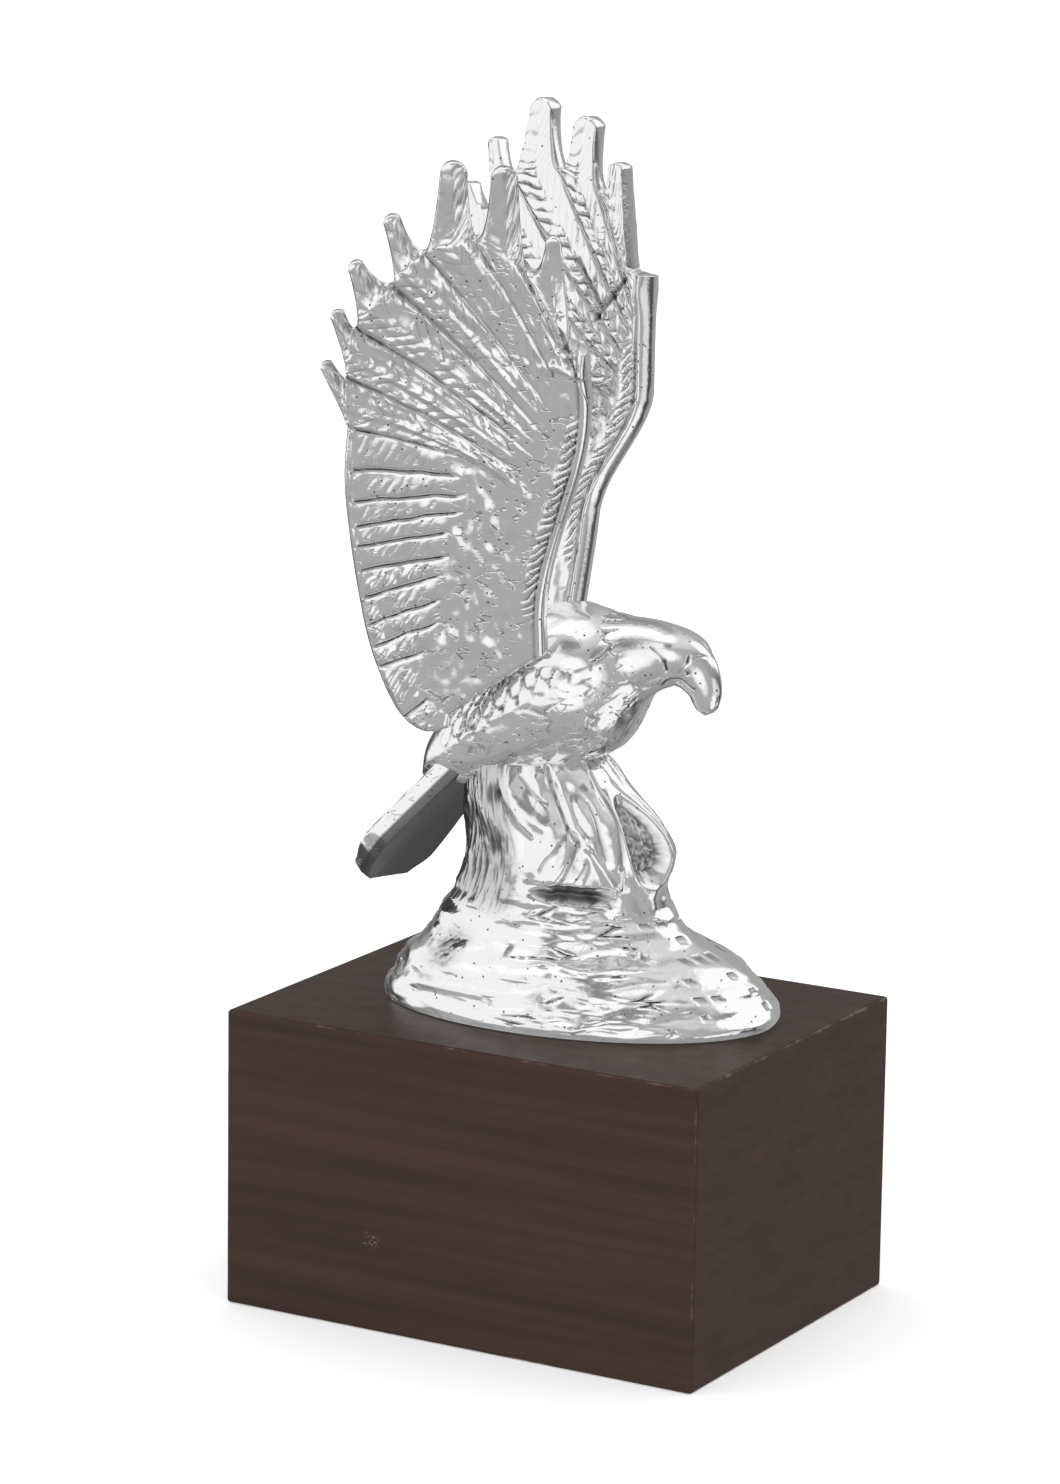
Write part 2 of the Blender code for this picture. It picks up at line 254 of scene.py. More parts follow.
def between(line_a, line_b, k, a, b):
    lead, start, stop = [one.lerp(two, a) for one, two in zip(line_a, line_b)]
    if k < SECONDARIES:
        low, high = GROOVE_SHARES[k:k + 2]
        stop = along(TRAILING_EDGE, low + (high - low) * a)
    if b < 0.5:
        return lead.lerp(start, 2.0 * b), 2.0 * b * (start - lead).length
    reach = (start - lead).length + (2.0 * b - 1.0) * (stop - start).length
    return start.lerp(stop, 2.0 * b - 1.0), reach


print(len(feather_lines(NEAR_WING)), "lines divide a wing into feathers")


# %% [markdown]
# On the real wing a smooth rod runs down the leading edge, with a comb of short barbs behind
# it. Grooves part the short feathers, and a plain rim closes them. The long feathers have a
# quill and barbs. This could be stamped from a picture of heights. Here each part is a small
# rule instead: it takes a place on the fan in millimetres and gives a height and the marks.

# %% Sizes of the leading edge, in millimetres
HALF_THICKNESS = 2.0
LEAD_ROUNDING = 2.5
THINNEST = 0.1
ROD_SHARE = 1.2
ROD_HEIGHT = 0.5
ROD_LINE = 0.28
COMB_START = 2.2
COMB_FADES = 3.6
COMB_END = 5.2
COMB_FOOT = (6.0, 14.0)
COMB_HEAD = (54.0, 46.0)
COMB_PITCH = 1.9
TOOTH_HEIGHT = 0.5
TOOTH_GAP = 0.16


def edge_profile(distance, run):
    t = 1.0 - min(max(distance / run, 0.0), 1.0)
    return max(sqrt(max(1.0 - t * t, 0.0)), THINNEST)


def leading_rod(reach, up, rod):
    breadth = ROD_SHARE * rod
    shape = sqrt(max(1.0 - (2.0 * reach / breadth - 1.0) ** 2, 0.0))
    inner = bump(reach - breadth - 0.1, ROD_LINE)
    phase = (up + 0.8 * reach) / COMB_PITCH + 0.6 * grain(reach, up, 3.0, 4.0)
    tooth = phase - floor(phase)
    shown = ramp(COMB_START - 0.3, COMB_START, reach) * ramp(COMB_END, COMB_FADES, reach)
    shown *= ramp(*COMB_FOOT, up) * ramp(*COMB_HEAD, up)
    comb = shown * TOOTH_HEIGHT * (tooth - bump(tooth - 0.95, TOOTH_GAP))
    height = ROD_HEIGHT * shape - 0.3 * inner + comb
    dirt = 0.5 * inner + 0.5 * shown * bump(tooth - 0.97, 0.13)
    return height, dirt, phase, shown


print("the comb has a tooth every", COMB_PITCH, "mm")

# %% Short feathers: grooves, a plain rim, and barbs between them
SHORT_FEATHER_EDGE = 1.5
GROOVE_HALF = 0.26
GROOVE_DEPTH = 0.5
GROOVE_SWAY = 0.45
GROOVE_BEGINS = (0.5, 0.56)
GROOVE_ENDS = (0.975, 0.955)
FEATHER_CROWN = 0.12
RIM_HEIGHT = 0.22
RIM_RISES = (0.957, 0.972)
BARB_PITCH = 1.7
BARB_LEAN = (0.87, 0.5)
DEEP_BARBED = 6
DEEP_BARBS = 0.75
FAINT_BARBS = 0.3


def short_feather(k, a, b, width, u, v):
    low = a * width
    high = (1.0 - a) * width
    part = ramp(*GROOVE_BEGINS, b) * ramp(*GROOVE_ENDS, b)
    before, after = [GROOVE_SWAY * grain(0.25 * u, 3.7 * line, 8.0) for line in (k, k + 1)]
    groove = part * max((k > 0) * bump(low - before, GROOVE_HALF), bump(high + after, GROOVE_HALF))
    height = FEATHER_CROWN * part * sin(pi * a) - GROOVE_DEPTH * groove
    height += RIM_HEIGHT * ramp(*RIM_RISES, b)
    outer = ramp(0.55, 0.7, b) * ramp(0.96, 0.93, b) * ramp(0.05, 0.25, min(a, 1.0 - a))
    strength = DEEP_BARBS if k < DEEP_BARBED else FAINT_BARBS
    strokes = outer * strength * ramp(-0.25, 0.15, grain(u, v, 9.0, 3.0))
    return height, groove ** 2, (BARB_LEAN[0] * u + BARB_LEAN[1] * v) / BARB_PITCH, strokes


print("a groove is", 2.0 * GROOVE_HALF, "mm wide and", GROOVE_DEPTH, "mm deep")

# %% Long feathers: valleys, quills, rays, barbs, and a bevel on the near wing
NEAR_GROWTH = (8.0, 21.0)
FAR_GROWTH = (5.0, 9.0)
LOW_HAND = (16.0, 13.0)
VALLEY_HALF = 0.4
VALLEY_DEPTH = 0.34
QUILL_HALF = 0.4
QUILL_HEIGHT = 0.3
RAY_LONG = 14.0
RAY_WIDE = 0.9
RAY_HEIGHT = 0.13
NEAR_RAY_EXTRA = 0.1
BEVEL = 0.55
BEVEL_RUN = 12.0
LAST_BEVEL_RUN = 20.0
LAST_BEVEL_WIDEST = 4.2
LONG_BARB_PITCH = 2.6


def ridge_of_bevel(last, x, width, finger, room):
    if last:
        ridge = (0.5 - 0.75 * ramp(room - LAST_BEVEL_RUN, room + 2.0, x)) * width
        return max(ridge, 0.5 * width - LAST_BEVEL_WIDEST)
    return (0.5 - 0.22 * ramp(room - BEVEL_RUN, room, x) - 0.4 * finger) * width


def long_feather(wing, k, a, x, width, finger, room):
    y = (a - 0.5) * width
    near = wing["near"]
    grown = ramp(*(NEAR_GROWTH if near else FAR_GROWTH), x)
    low_hand = ramp(*LOW_HAND, k)
    share = low_hand if near else 1.0
    side = 0.5 * width - abs(y)
    valley = grown * (0.5 + 0.5 * share) * bump(side, VALLEY_HALF) * ramp(0.15, 0.0, finger)
    quill = grown * bump(y + 0.1 * width, QUILL_HALF) * (0.25 + 0.75 * share)
    last = near * (k == SECONDARIES + 6)
    facet = near * max(y - ridge_of_bevel(last, x, width, finger, room), 0.0)
    bevel = ramp(0.0, 0.3, facet)
    ray = grain(x / RAY_LONG, y / RAY_WIDE, 20.0 + 3.0 * k)
    ray += 0.8 * near * share * grain(x / 3.0, y / 1.1, 60.0 + k)
    height = grown * (RAY_HEIGHT + NEAR_RAY_EXTRA * near) * ray * (1.0 - last * bevel)
    height += QUILL_HEIGHT * quill * (1.0 - near * ramp(0.1, 0.4, finger))
    height -= VALLEY_DEPTH * valley + BEVEL * facet
    speckle = ramp(0.0, 0.6, facet) * (1.0 - last)
    mask = ramp(-0.3, 0.1, grain(x, y, 40.0 + k, 3.0))
    if near:
        strokes = grown * (0.3 * low_hand + 0.15) * (1.0 - bevel) * mask ** 2 + 0.45 * speckle
    else:
        strokes = grown * (1.2 - ramp(-0.1, 0.4, y)) * (1.0 - 0.5 * ramp(0.1, 0.5, finger))
        strokes *= 0.35 + 0.65 * mask
    barb = (x - 1.1 * abs(y)) / LONG_BARB_PITCH + 0.25 * grain(x, y, 7.0 * k, 5.0)
    dirt = 0.35 * valley + 0.4 * speckle * ramp(-0.2, 0.3, grain(x, y, 5.0, 1.5))
    return height, dirt, barb, strokes * ramp(0.2, 0.7, side)


print("barbs on the long feathers are", LONG_BARB_PITCH, "mm apart")

# %% [markdown]
# Some marks don't belong to one feather: swells on the arm, a ragged row of coverts, the
# knob and the knot at the wrist, and two long cuts on the far wing. One rule adds them to
# what the feathers give, so that they run on over the seams between the nets.

# %% The marks at the wrist
COVERT_ROW = 59.8
COVERT_STEP = 0.35
KNOB = Vector((-1.0, 60.8))
KNOB_HALVES = (1.5, 3.4)
KNOB_HEIGHT = 0.9
KNOT = Vector((1.8, 63.4))
KNOT_REACH = 2.0
KNOT_HEIGHT = 0.6
CUT_HALF = 0.45
CUT_DEPTH = 0.55
HOLLOW_SOOT = 0.8
FAR_CUTS = [[(11.5, 65.9), (9.0, 61.5), (5.7, 55.8)], [(2.0, 62.6), (4.6, 59.0), (7.7, 54.8)]]


def fan_place(u, v):
    return Vector((u, v, 0.0))


FAR_CUT_LINES = [carved_line(places, fan_place) for places in FAR_CUTS]


def last_strip(wing):
    return len(wing["notches"]) + SECONDARIES - 2


def marks_of_wrist(wing, u, v):
    height = KNOB_HEIGHT * bump(hypot((u - KNOB.x) / KNOB_HALVES[0], (v - KNOB.y) / KNOB_HALVES[1]), 1.0)
    if not wing["near"]:
        cut = max(bump(distance_to(tree, fan_place(u, v)), CUT_HALF) for tree in FAR_CUT_LINES)
        return height - CUT_DEPTH * cut, HOLLOW_SOOT * cut
    covert = bump(v - COVERT_ROW - 0.1 * u - 1.5 * grain(u, 0.0, 31.0, 4.0), 0.8) * ramp(21.0, 14.0, u)
    height += COVERT_STEP * covert * ramp(-0.2, 0.2, grain(u, v, 55.0, 2.2))
    knot = bump(hypot(u - KNOT.x, v - KNOT.y), KNOT_REACH)
    rough = grain(u, v, 60.0, 1.1)
    return height + KNOT_HEIGHT * knot * rough, HOLLOW_SOOT * knot * ramp(0.0, 0.3, rough)


print("the far wing has", len(FAR_CUT_LINES), "long cuts")


# %% All the marks at one place of a wing
SWELL = 0.22
WRINKLE = 0.25
ARM_RELIEF = 0.5
ARM_RELIEF_RUN = 9.0
LEAST_HEIGHT = 0.3


def carved(wing, k, a, b, width, reach, u, v, finger=0.0, blade=0.0):
    from_lead = max(u - lead_at(wing, v), 0.0)
    rod, dirt, comb_phase, comb = leading_rod(from_lead, v, wing["rod"])
    inner = ramp(0.54, 0.46, b) if k < SECONDARIES else ramp(30.0, 18.0, reach)
    quiet = ramp(COMB_START, COMB_START + 1.5, from_lead)
    swell = SWELL * grain(u, 0.6 * v, 2.0, 1.5) + WRINKLE * max(grain(0.7 * u, v, 5.0, 3.0), 0.0) ** 2
    swell = (0.5 + 0.5 * inner) * swell + SWELL * grain(u, v, 9.0, 5.0)
    height = HALF_THICKNESS + rod + quiet * swell
    height += ARM_RELIEF * ramp(ARM_RELIEF_RUN, 0.0, from_lead)
    wrist_height, wrist_dirt = marks_of_wrist(wing, u, v)
    if k < SECONDARIES:
        more, soot, barb, strokes = short_feather(k, a, b, width, u, v)
    elif k < last_strip(wing):
        more, soot, barb, strokes = long_feather(wing, k, a, reach, width, finger, blade)
    else:
        more, soot, barb, strokes = 0.0, 0.0, (v - u) / BARB_PITCH, 0.8 * (1.0 - wing["near"])
    strokes *= ramp(0.0, 1.5, from_lead - 1.3 * wing["rod"])
    if comb > 0.0:
        barb, strokes = comb_phase, 1.1 * comb
    worn = quiet * max(inner, 0.35 * wing["near"] * ramp(0.2, 0.0, finger))
    dirt = min(max(dirt + wrist_dirt + soot, 0.0), 1.0)
    return max(height + wrist_height + more, LEAST_HEIGHT), dirt, barb, strokes, worn


print("a wing is about", 2.0 * HALF_THICKNESS, "mm thick")

# %% The blade of one feather, from the leading edge out
SHORT_COLUMNS = 14
LONG_COLUMNS = 24
BLADE_ROWS = 108
EDGE_CROWDING = 0.55


def to_edges(a):
    return a - EDGE_CROWDING * sin(2.0 * pi * a) / (2.0 * pi)


def edge_rounding(wing, k, a, width, outer, flat):
    shape = edge_profile(max(flat.x - lead_at(wing, flat.y), 0.0), LEAD_ROUNDING)
    if k < SECONDARIES:
        low = a * width if k == 0 else SHORT_FEATHER_EDGE
        return min(shape, edge_profile(min(outer, low), SHORT_FEATHER_EDGE))
    if k == last_strip(wing):
        return min(shape, edge_profile(min(outer, (1.0 - a) * width), wing["edge"]))
    side = min(a, 1.0 - a) * width
    return min(shape, edge_profile(hypot(side, outer), wing["edge"]))


def reach_of(line_a, line_b, a):
    return (line_a[2].lerp(line_b[2], a) - line_a[0].lerp(line_b[0], a)).length


def blade_net(bm, wing, k, line_a, line_b):
    def rule(a, b):
        a = to_edges(a)
        flat, reach = between(line_a, line_b, k, a, b)
        width = (between(line_a, line_b, k, 1.0, b)[0] - between(line_a, line_b, k, 0.0, b)[0]).length
        outer = (flat - between(line_a, line_b, k, a, 1.0)[0]).length
        marks = carved(wing, k, a, b, width, reach, flat.x, flat.y, 0.0, reach_of(line_a, line_b, a))
        height = marks[0] * edge_rounding(wing, k, a, width, outer, flat)
        return Vector((flat.x, flat.y, height)), *marks[1:]

    net(bm, SHORT_COLUMNS if k < SECONDARIES else LONG_COLUMNS, BLADE_ROWS, rule)


print("a blade has", BLADE_ROWS, "rows of faces")

# %% The finger of a long feather: it flares at the notch, bows, and closes round its tip
FINGER_ROWS = 36
FINGER_FLARE = 0.12


def bowed(first, middle, last, t):
    return first.lerp(middle, t).lerp(middle.lerp(last, t), t)


def finger_net(bm, wing, k, line_a, line_b):
    end_a, end_b = line_a[2], line_b[2]
    tip = Vector(wing["tips"][k - SECONDARIES])
    gap_a, gap_b, breadth = FINGERS[k - SECONDARIES]
    over = (end_b - end_a).normalized()
    way = (tip - end_a.lerp(end_b, 0.5)).normalized()
    side = Vector((way.y, -way.x))
    if side.dot(over) < 0.0:
        side = -side
    half = 0.5 * breadth
    crown = tip - way * half
    reach = (tip - end_a.lerp(end_b, 0.5)).length
    knee_a = end_a + over * gap_a + way * FINGER_FLARE * reach
    knee_b = end_b - over * gap_b + way * FINGER_FLARE * reach

    def rule(a, b):
        a = to_edges(a)
        left = bowed(end_a, knee_a, crown - side * half, b)
        right = bowed(end_b, knee_b, crown + side * half, b)
        width = (right - left).length
        cap = crown + (way * sin(pi * a) - side * cos(pi * a)) * half
        flat = left.lerp(right, a).lerp(cap, b ** 4)
        blade = reach_of(line_a, line_b, a)
        marks = carved(wing, k, a, 1.0, width, blade + b * reach, flat.x, flat.y, b, blade)
        room = min(min(a, 1.0 - a) * width, (1.0 - b) * reach + 0.03 * breadth)
        height = marks[0] * edge_profile(room, wing["edge"]) * (1.0 - wing["thinning"] * b)
        return Vector((flat.x, flat.y, height)), *marks[1:]

    net(bm, LONG_COLUMNS, FINGER_ROWS, rule)


print("a finger has", FINGER_ROWS, "rows of faces")

# %% Cup the fan of a wing and stand it on the body
ROOT_BEND_START = -8.0


def stand_wing(bm, wing):
    sweep, lean, turn = [radians(wing[word]) for word in ("sweep", "lean", "turn")]
    side = wing["side"]
    back = Vector((-cos(sweep), side * sin(sweep), 0.0))
    out = Vector((0.0, side, 0.0))
    rise = Vector((0.0, 0.0, cos(lean))) + out * sin(lean)
    rise = (rise - back * rise.dot(back)).normalized()
    back, rise = (back * cos(turn) + rise * sin(turn),
                  rise * cos(turn) - back * sin(turn))
    face = back.cross(rise)
    if face.dot(out) < 0.0:
        face = -face
    root = Vector(wing["root"])
    for vert in bm.verts:
        u, v, h = vert.co
        cup = CUP_DEPTH * ((u - CUP_MIDDLE) / CUP_HALF) ** 2
        cup += TIP_CURL * (max(v - TIP_CURL_START, 0.0) / TIP_CURL_RUN) ** 2
        cup -= wing["bend"] * ramp(CUP_MIDDLE, ROOT_BEND_START, v)
        vert.co = seat(root + back * u + rise * v + face * (cup + h))


print("a wing is cupped by", CUP_DEPTH, "mm")

# %% Both wings: welded, mirrored for the other face, and stood in place
WELD = 0.012


def wing_piece(name, wing):
    bm = bmesh.new()
    lines = feather_lines(wing)
    for k in range(len(lines) - 1):
        blade_net(bm, wing, k, lines[k], lines[k + 1])
        if SECONDARIES <= k < SECONDARIES + len(wing["tips"]):
            finger_net(bm, wing, k, lines[k], lines[k + 1])
    bmesh.ops.remove_doubles(bm, verts=bm.verts, dist=WELD)
    for vert in under_face(bm):
        vert.co.z = -vert.co.z
    stand_wing(bm, wing)
    return finished(name, bm)


near_wing = wing_piece("near_wing", NEAR_WING)
far_wing = wing_piece("far_wing", FAR_WING)

# %% [markdown]
# Body, neck, head and beak are one closed run of rings along a bent spine, as a modeller
# builds wax round a wire. Separate balls joined together would leave seams at the neck. The
# back and flanks carry leaf-shaped scales in rows. The belly is smoother, with strokes and
# small cracks. The head has a brow, an eye slit, a nostril and a mouth line.

# %% Body run
SPINE = [(-28.0, 42.5, 1.0, 4.0), (-24.0, 45.5, 5.5, 8.0), (-17.0, 49.8, 9.0, 11.0),
         (-6.0, 56.5, 12.5, 13.5), (4.0, 62.9, 13.9, 14.0), (10.7, 67.0, 10.8, 11.0),
         (15.7, 69.1, 7.9, 7.8), (20.3, 69.8, 6.4, 6.4), (24.3, 69.2, 5.3, 5.2),
         (27.0, 67.2, 4.5, 3.8), (28.6, 64.4, 3.5, 3.0), (29.0, 61.9, 2.7, 2.3),
         (29.0, 60.3, 1.8, 1.6), (28.9, 59.3, 0.2, 0.2)]
BODY_AROUND = 256
BODY_ALONG = 330


def spine_frame(b):
    here = along(SPINE, b)
    ahead = along(SPINE, min(b + 0.01, 1.0)) - along(SPINE, max(b - 0.01, 0.0))
    way = Vector((ahead[0], 0.0, ahead[1])).normalized()
    return here, Vector((-way.z, 0.0, way.x))


SPINE_STEPS = 200
SPINE_RUN = [0.0]
for i in range(SPINE_STEPS):
    first, after = along(SPINE, i / SPINE_STEPS), along(SPINE, (i + 1) / SPINE_STEPS)
    SPINE_RUN.append(SPINE_RUN[-1] + hypot(after[0] - first[0], after[1] - first[1]))


def run_at(b):
    cell = min(int(b * SPINE_STEPS), SPINE_STEPS - 1)
    return SPINE_RUN[cell] + (b * SPINE_STEPS - cell) * (SPINE_RUN[cell + 1] - SPINE_RUN[cell])


def body_place(turn, b):
    here, upward = spine_frame(b)
    angle = radians(turn)
    spine = Vector((here[0], 0.0, here[1]))
    return spine + upward * cos(angle) * here[2] + Vector((0.0, sin(angle) * here[3], 0.0))


print("the body is", round(SPINE_RUN[-1], 1), "mm long along its spine")


# %% Leaf-shaped scales and the strokes below them
LEAF_LONG = 4.0
LEAF_ROW = 17.0
LEAF_TILT = 1.2
LEAF_RELIEF = 0.95
SCALES_END = 84.0


# A scale's second value is how dark its border is painted, as shade between the scales.
def leaf(s, down):
    row = floor(down)
    for i in (row - 1, row):
        x = (s + LEAF_TILT * down) / LEAF_LONG + 0.5 * (i % 2)
        x = x - floor(x) - 0.5
        y = down - i
        shape = 1.0 - hypot(x / 0.5, (y - 0.75) / 0.76)
        if shape > 0.0:
            dome = 1.0 - (1.0 - shape) ** 2
            return ramp(0.0, 0.12, shape) * (0.35 + 0.3 * y + 0.12 * dome), bump(shape, 0.13)
    return 0.0, 1.0


def body_carving(top, b, spot):
    s = run_at(b) + 0.3 * grain(*spot, 5.0)
    scaly = ramp(SCALES_END + 3.0, SCALES_END - 4.0, top + 5.0 * grain(s, 0.0, 3.0, 3.0))
    scaly *= ramp(0.1, 0.18, b) * ramp(0.47, 0.42, b)
    value, rim = leaf(s, top / LEAF_ROW + 0.08 * grain(s, top / LEAF_ROW, 8.0, 3.0))
    height = scaly * LEAF_RELIEF * (value - 0.4)
    # Painted shade: the line round each scale and the gaps between the scales are darkened as shade between
    # the scales.
    dirt = scaly * 0.7 * rim
    belly = (1.0 - scaly) * ramp(0.5, 0.42, b) * ramp(50.0, 70.0, top)
    line = bump(crack(0.6 * spot.x, spot.y, spot.z * 1.5, 3.2), 0.16)
    line *= ramp(0.1, 0.4, grain(spot.x, spot.y, spot.z + 9.0, 5.0))
    height += belly * (0.14 * grain(0.5 * spot.x, spot.y, spot.z, 2.4) - 0.25 * line)
    low = belly * ramp(100.0, 116.0, top)
    stroke = grain(s / 3.6, top / 4.5, 14.0)
    height += low * 0.09 * stroke
    dirt += 0.5 * belly * line + low * 0.15 * bump(stroke + 0.25, 0.06)
    return height, dirt


print("a scale is", LEAF_LONG, "mm long")


# %% Brow, eye slit, nostril, mouth and ridge of the beak, placed by turn in degrees and run
SLIT = [(85.0, 0.586), (92.0, 0.590), (101.0, 0.597)]
BROW_END = [(56.0, 0.644), (66.0, 0.650)]
BROW_BACK = [(66.0, 0.543), (74.0, 0.562), (84.0, 0.580)]
CHEEK = [(118.0, 0.600), (115.0, 0.645)]
MOUTH = [(146.0, 0.566), (128.0, 0.606), (112.0, 0.668), (109.0, 0.722), (101.0, 0.752)]
JAW = [(166.0, 0.668), (159.0, 0.748), (157.0, 0.800), (155.0, 0.874)]
CERE = [(96.0, 0.655), (54.0, 0.655), (17.0, 0.680), (0.0, 0.684)]
DOMES = [(1.0, 3.3, body_place(61.0, 0.592)), (0.4, 2.4, body_place(28.0, 0.640))]
HEAD_LINES = [(0.30, 0.80, 0.0, CHEEK),
              (-0.45, 0.30, 1.0, SLIT),
              (-0.40, 0.28, 1.0, BROW_END),
              (-0.12, 0.24, 0.5, BROW_BACK),
              (-0.38, 0.26, 0.9, MOUTH),
              (-0.28, 0.22, 0.8, JAW),
              (-0.12, 0.30, 0.1, CERE)]
HEAD_LINES = [(*row[:3], carved_line(row[3], body_place)) for row in HEAD_LINES]
NOSTRIL_SPOT = body_place(86.0, 0.678)


def head_carving(top, b, spot):
    mirrored = Vector((spot.x, abs(spot.y), spot.z))
    height = 0.0
    dirt = 0.0
    for rise, width, soot, tree in HEAD_LINES:
        share = bump(distance_to(tree, mirrored), width)
        height += rise * share
        dirt += soot * share
    for rise, width, centre in DOMES:
        height += rise * bump((mirrored - centre).length, width)
    hole = bump((mirrored - NOSTRIL_SPOT).length, 0.4)
    keel = 0.22 * bump(top, 14.0) * ramp(0.66, 0.72, b) * ramp(0.98, 0.9, b)
    height += keel - 0.5 * hole
    return height, dirt + hole


print(len(HEAD_LINES), "lines are carved on each side of the head")


# %% Body, head and beak as one net of rings
def body_rule(a, b):
    here, upward = spine_frame(b)
    angle = 2.0 * pi * a
    top = 360.0 * min(a, 1.0 - a)
    close = float(0.0 < b < 1.0)
    tall = upward * cos(angle) * here[2] * close
    wide = Vector((0.0, sin(angle) * here[3] * close, 0.0))
    spot = Vector((here[0], 0.0, here[1])) + tall + wide
    height, dirt = body_carving(top, b, spot)
    if b > 0.46:
        more, soot = head_carving(top, b, spot)
        height += more * ramp(0.98, 0.9, b)
        dirt += soot
    out = (tall + wide).normalized() if close else Vector()
    flank = ramp(0.5, 0.45, b) * ramp(SCALES_END - 10.0, SCALES_END + 10.0, top)
    return seat(spot + out * height * close), min(max(dirt, 0.0), 1.0), 0.0, 0.0, 0.5 * flank


bm = bmesh.new()
net(bm, BODY_AROUND, BODY_ALONG, body_rule)
body = finished("body", bm)

# %% [markdown]
# A smooth mass fills the hollow between the wings, as wax is pressed in where two parts of a
# model meet. The body's rings could swell there, but then their scales would stretch.

# %% Shoulders
SHOULDER_MIDDLE = Vector((2.5, 0.0, 68.0))
SHOULDER_HALVES = Vector((13.0, 13.0, 10.3))
bm = bmesh.new()
bm.verts.layers.float.new("grime_and_shade")
bmesh.ops.create_icosphere(bm, subdivisions=5, radius=1.0)
for vert in bm.verts:
    swell = vert.co * SHOULDER_HALVES
    swell += vert.co * 0.3 * grain(*swell, 4.0)
    vert.co = seat(SHOULDER_MIDDLE + swell)
shoulders = finished("shoulders", bm)

# %% [markdown]
# The rock is a stack of rings, wide at its foot, which has level layers. Above them the
# bird's legs and the rock's folds run down like drapery. Loose stones could be stacked, but
# the casting is one mass, so its folds are lines on one skin, placed by degrees and level.

# %% Rock
ROCK = [(0.0, 3.9, -0.2, 39.4, 24.6), (1.6, 4.4, -0.2, 39.9, 25.0),
        (4.2, 4.0, 0.0, 38.5, 24.4), (6.8, 3.8, 0.0, 36.8, 23.5),
        (9.4, 3.3, 0.0, 34.5, 22.4), (12.0, 2.9, 0.0, 31.1, 20.6),
        (15.0, 0.5, 0.0, 26.4, 17.6), (18.0, -0.2, 0.0, 23.8, 16.2),
        (21.0, 0.0, 0.0, 22.0, 15.2), (24.5, 0.0, 0.0, 20.6, 14.5),
        (28.5, 0.4, 0.0, 19.9, 14.2), (33.0, 0.2, 0.0, 19.5, 13.8),
        (38.0, -1.2, 0.0, 18.8, 13.4), (43.0, -3.6, 0.0, 16.3, 11.8),
        (48.0, -5.0, 0.0, 13.4, 10.2), (53.0, -5.0, 0.0, 7.0, 6.0)]
ROCK_TURN = radians(1.0)
ROCK_AROUND = 420
ROCK_UP = 210
ROCK_LEVELS = [ring[0] for ring in ROCK]


def ring_at(level):
    cell = max(i for i in range(len(ROCK) - 1) if ROCK_LEVELS[i] <= max(level, 0.0))
    share = (level - ROCK_LEVELS[cell]) / (ROCK_LEVELS[cell + 1] - ROCK_LEVELS[cell])
    return along(ROCK, (cell + share) / (len(ROCK) - 1))


def rock_place(degrees, level):
    ring = ring_at(level)
    angle = radians(degrees)
    return Vector((ring[1] + cos(angle) * ring[3], ring[2] + sin(angle) * ring[4], level))


print("the rock is", ROCK_LEVELS[-1], "mm high")

# %% Creases between the legs, and strands that stand up, placed by degrees and level
CREASES = [(-0.45, 0.3, [(-65, 48), (-67, 42.5), (-68, 37.7), (-64, 34.6), (-67, 32.4), (-74, 27.1)]),
           (-0.35, 0.3, [(-68, 37), (-73, 34.6), (-83, 31.3), (-86, 29)]),
           (-0.4, 0.30, [(-46, 42), (-47, 39.9), (-49, 36.7), (-49, 32.3)]),
           (-0.4, 0.30, [(-106, 43), (-102, 40.5), (-97, 37.1), (-91, 35)]),
           (-0.4, 0.30, [(-90, 45.7), (-83, 43.1), (-75, 41.5)]),
           (-0.3, 0.30, [(-31, 47), (-33, 42), (-37, 36), (-40, 30)])]
STRANDS = [(0.7, 0.8, [(-60, 47), (-61, 42), (-63, 38), (-61, 36.3), (-56, 32.6),
                       (-50, 29.1), (-43, 25.5)]),
           (0.7, 1.5, [(-78, 46), (-75, 41), (-74, 38), (-80, 33.5), (-91, 29.5)]),
           (0.9, 1.3, [(-70, 36), (-71, 32), (-78, 28)]),
           (0.8, 1.2, [(-61, 34), (-63, 30.5), (-68, 27.5)]),
           (0.5, 1.2, [(-54, 42), (-53, 37), (-56, 34.5)]),
           (0.7, 1.6, [(-40, 44), (-43, 37), (-45, 31)]),
           (0.6, 1.4, [(-98, 44), (-90, 39.5), (-82, 37.5)])]
ROCK_LINES = [(rise, width, carved_line(places, rock_place)) for rise, width, places in CREASES + STRANDS]
SHELF = dict(left=-96.0, right=-38.0, level=26.6, rise=1.3, cut=-2.0)


def leg_carving(degrees, level, spot):
    height = 0.0
    dirt = 0.0
    for rise, width, tree in ROCK_LINES:
        share = bump(distance_to(tree, spot), width)
        height += rise * share
        if rise < 0.0:
            dirt += 0.5 * share
    across = min(max((degrees - SHELF["left"]) / (SHELF["right"] - SHELF["left"]), 0.0), 1.0)
    window = sin(pi * across) ** 0.6
    height += 0.9 * grain(degrees / 14.0, level / 11.0, 4.0)
    edge = SHELF["level"] + 0.8 * grain(degrees / 6.0, 0.0, 2.0) - 1.2 * across
    height += window * SHELF["rise"] * ramp(edge, edge + 0.8, level) * ramp(38.0, 29.0, level)
    slot = ramp(0.3, 0.9, window) * bump(level - edge + 1.7, 0.5 + 0.9 * window ** 3)
    height += SHELF["cut"] * slot
    # Painted shade: the slot under the shelf is darkened as shade in the recess.
    return height, dirt + 0.9 * slot


print(len(ROCK_LINES), "creases and strands on the legs")

# %% The hollow beside the knee, rough inside, with a soft rim
HOLLOW = dict(angle=-19.0, level=34.3, half_turn=16.0, half_level=8.8, rim=0.7, depth=-2.2)


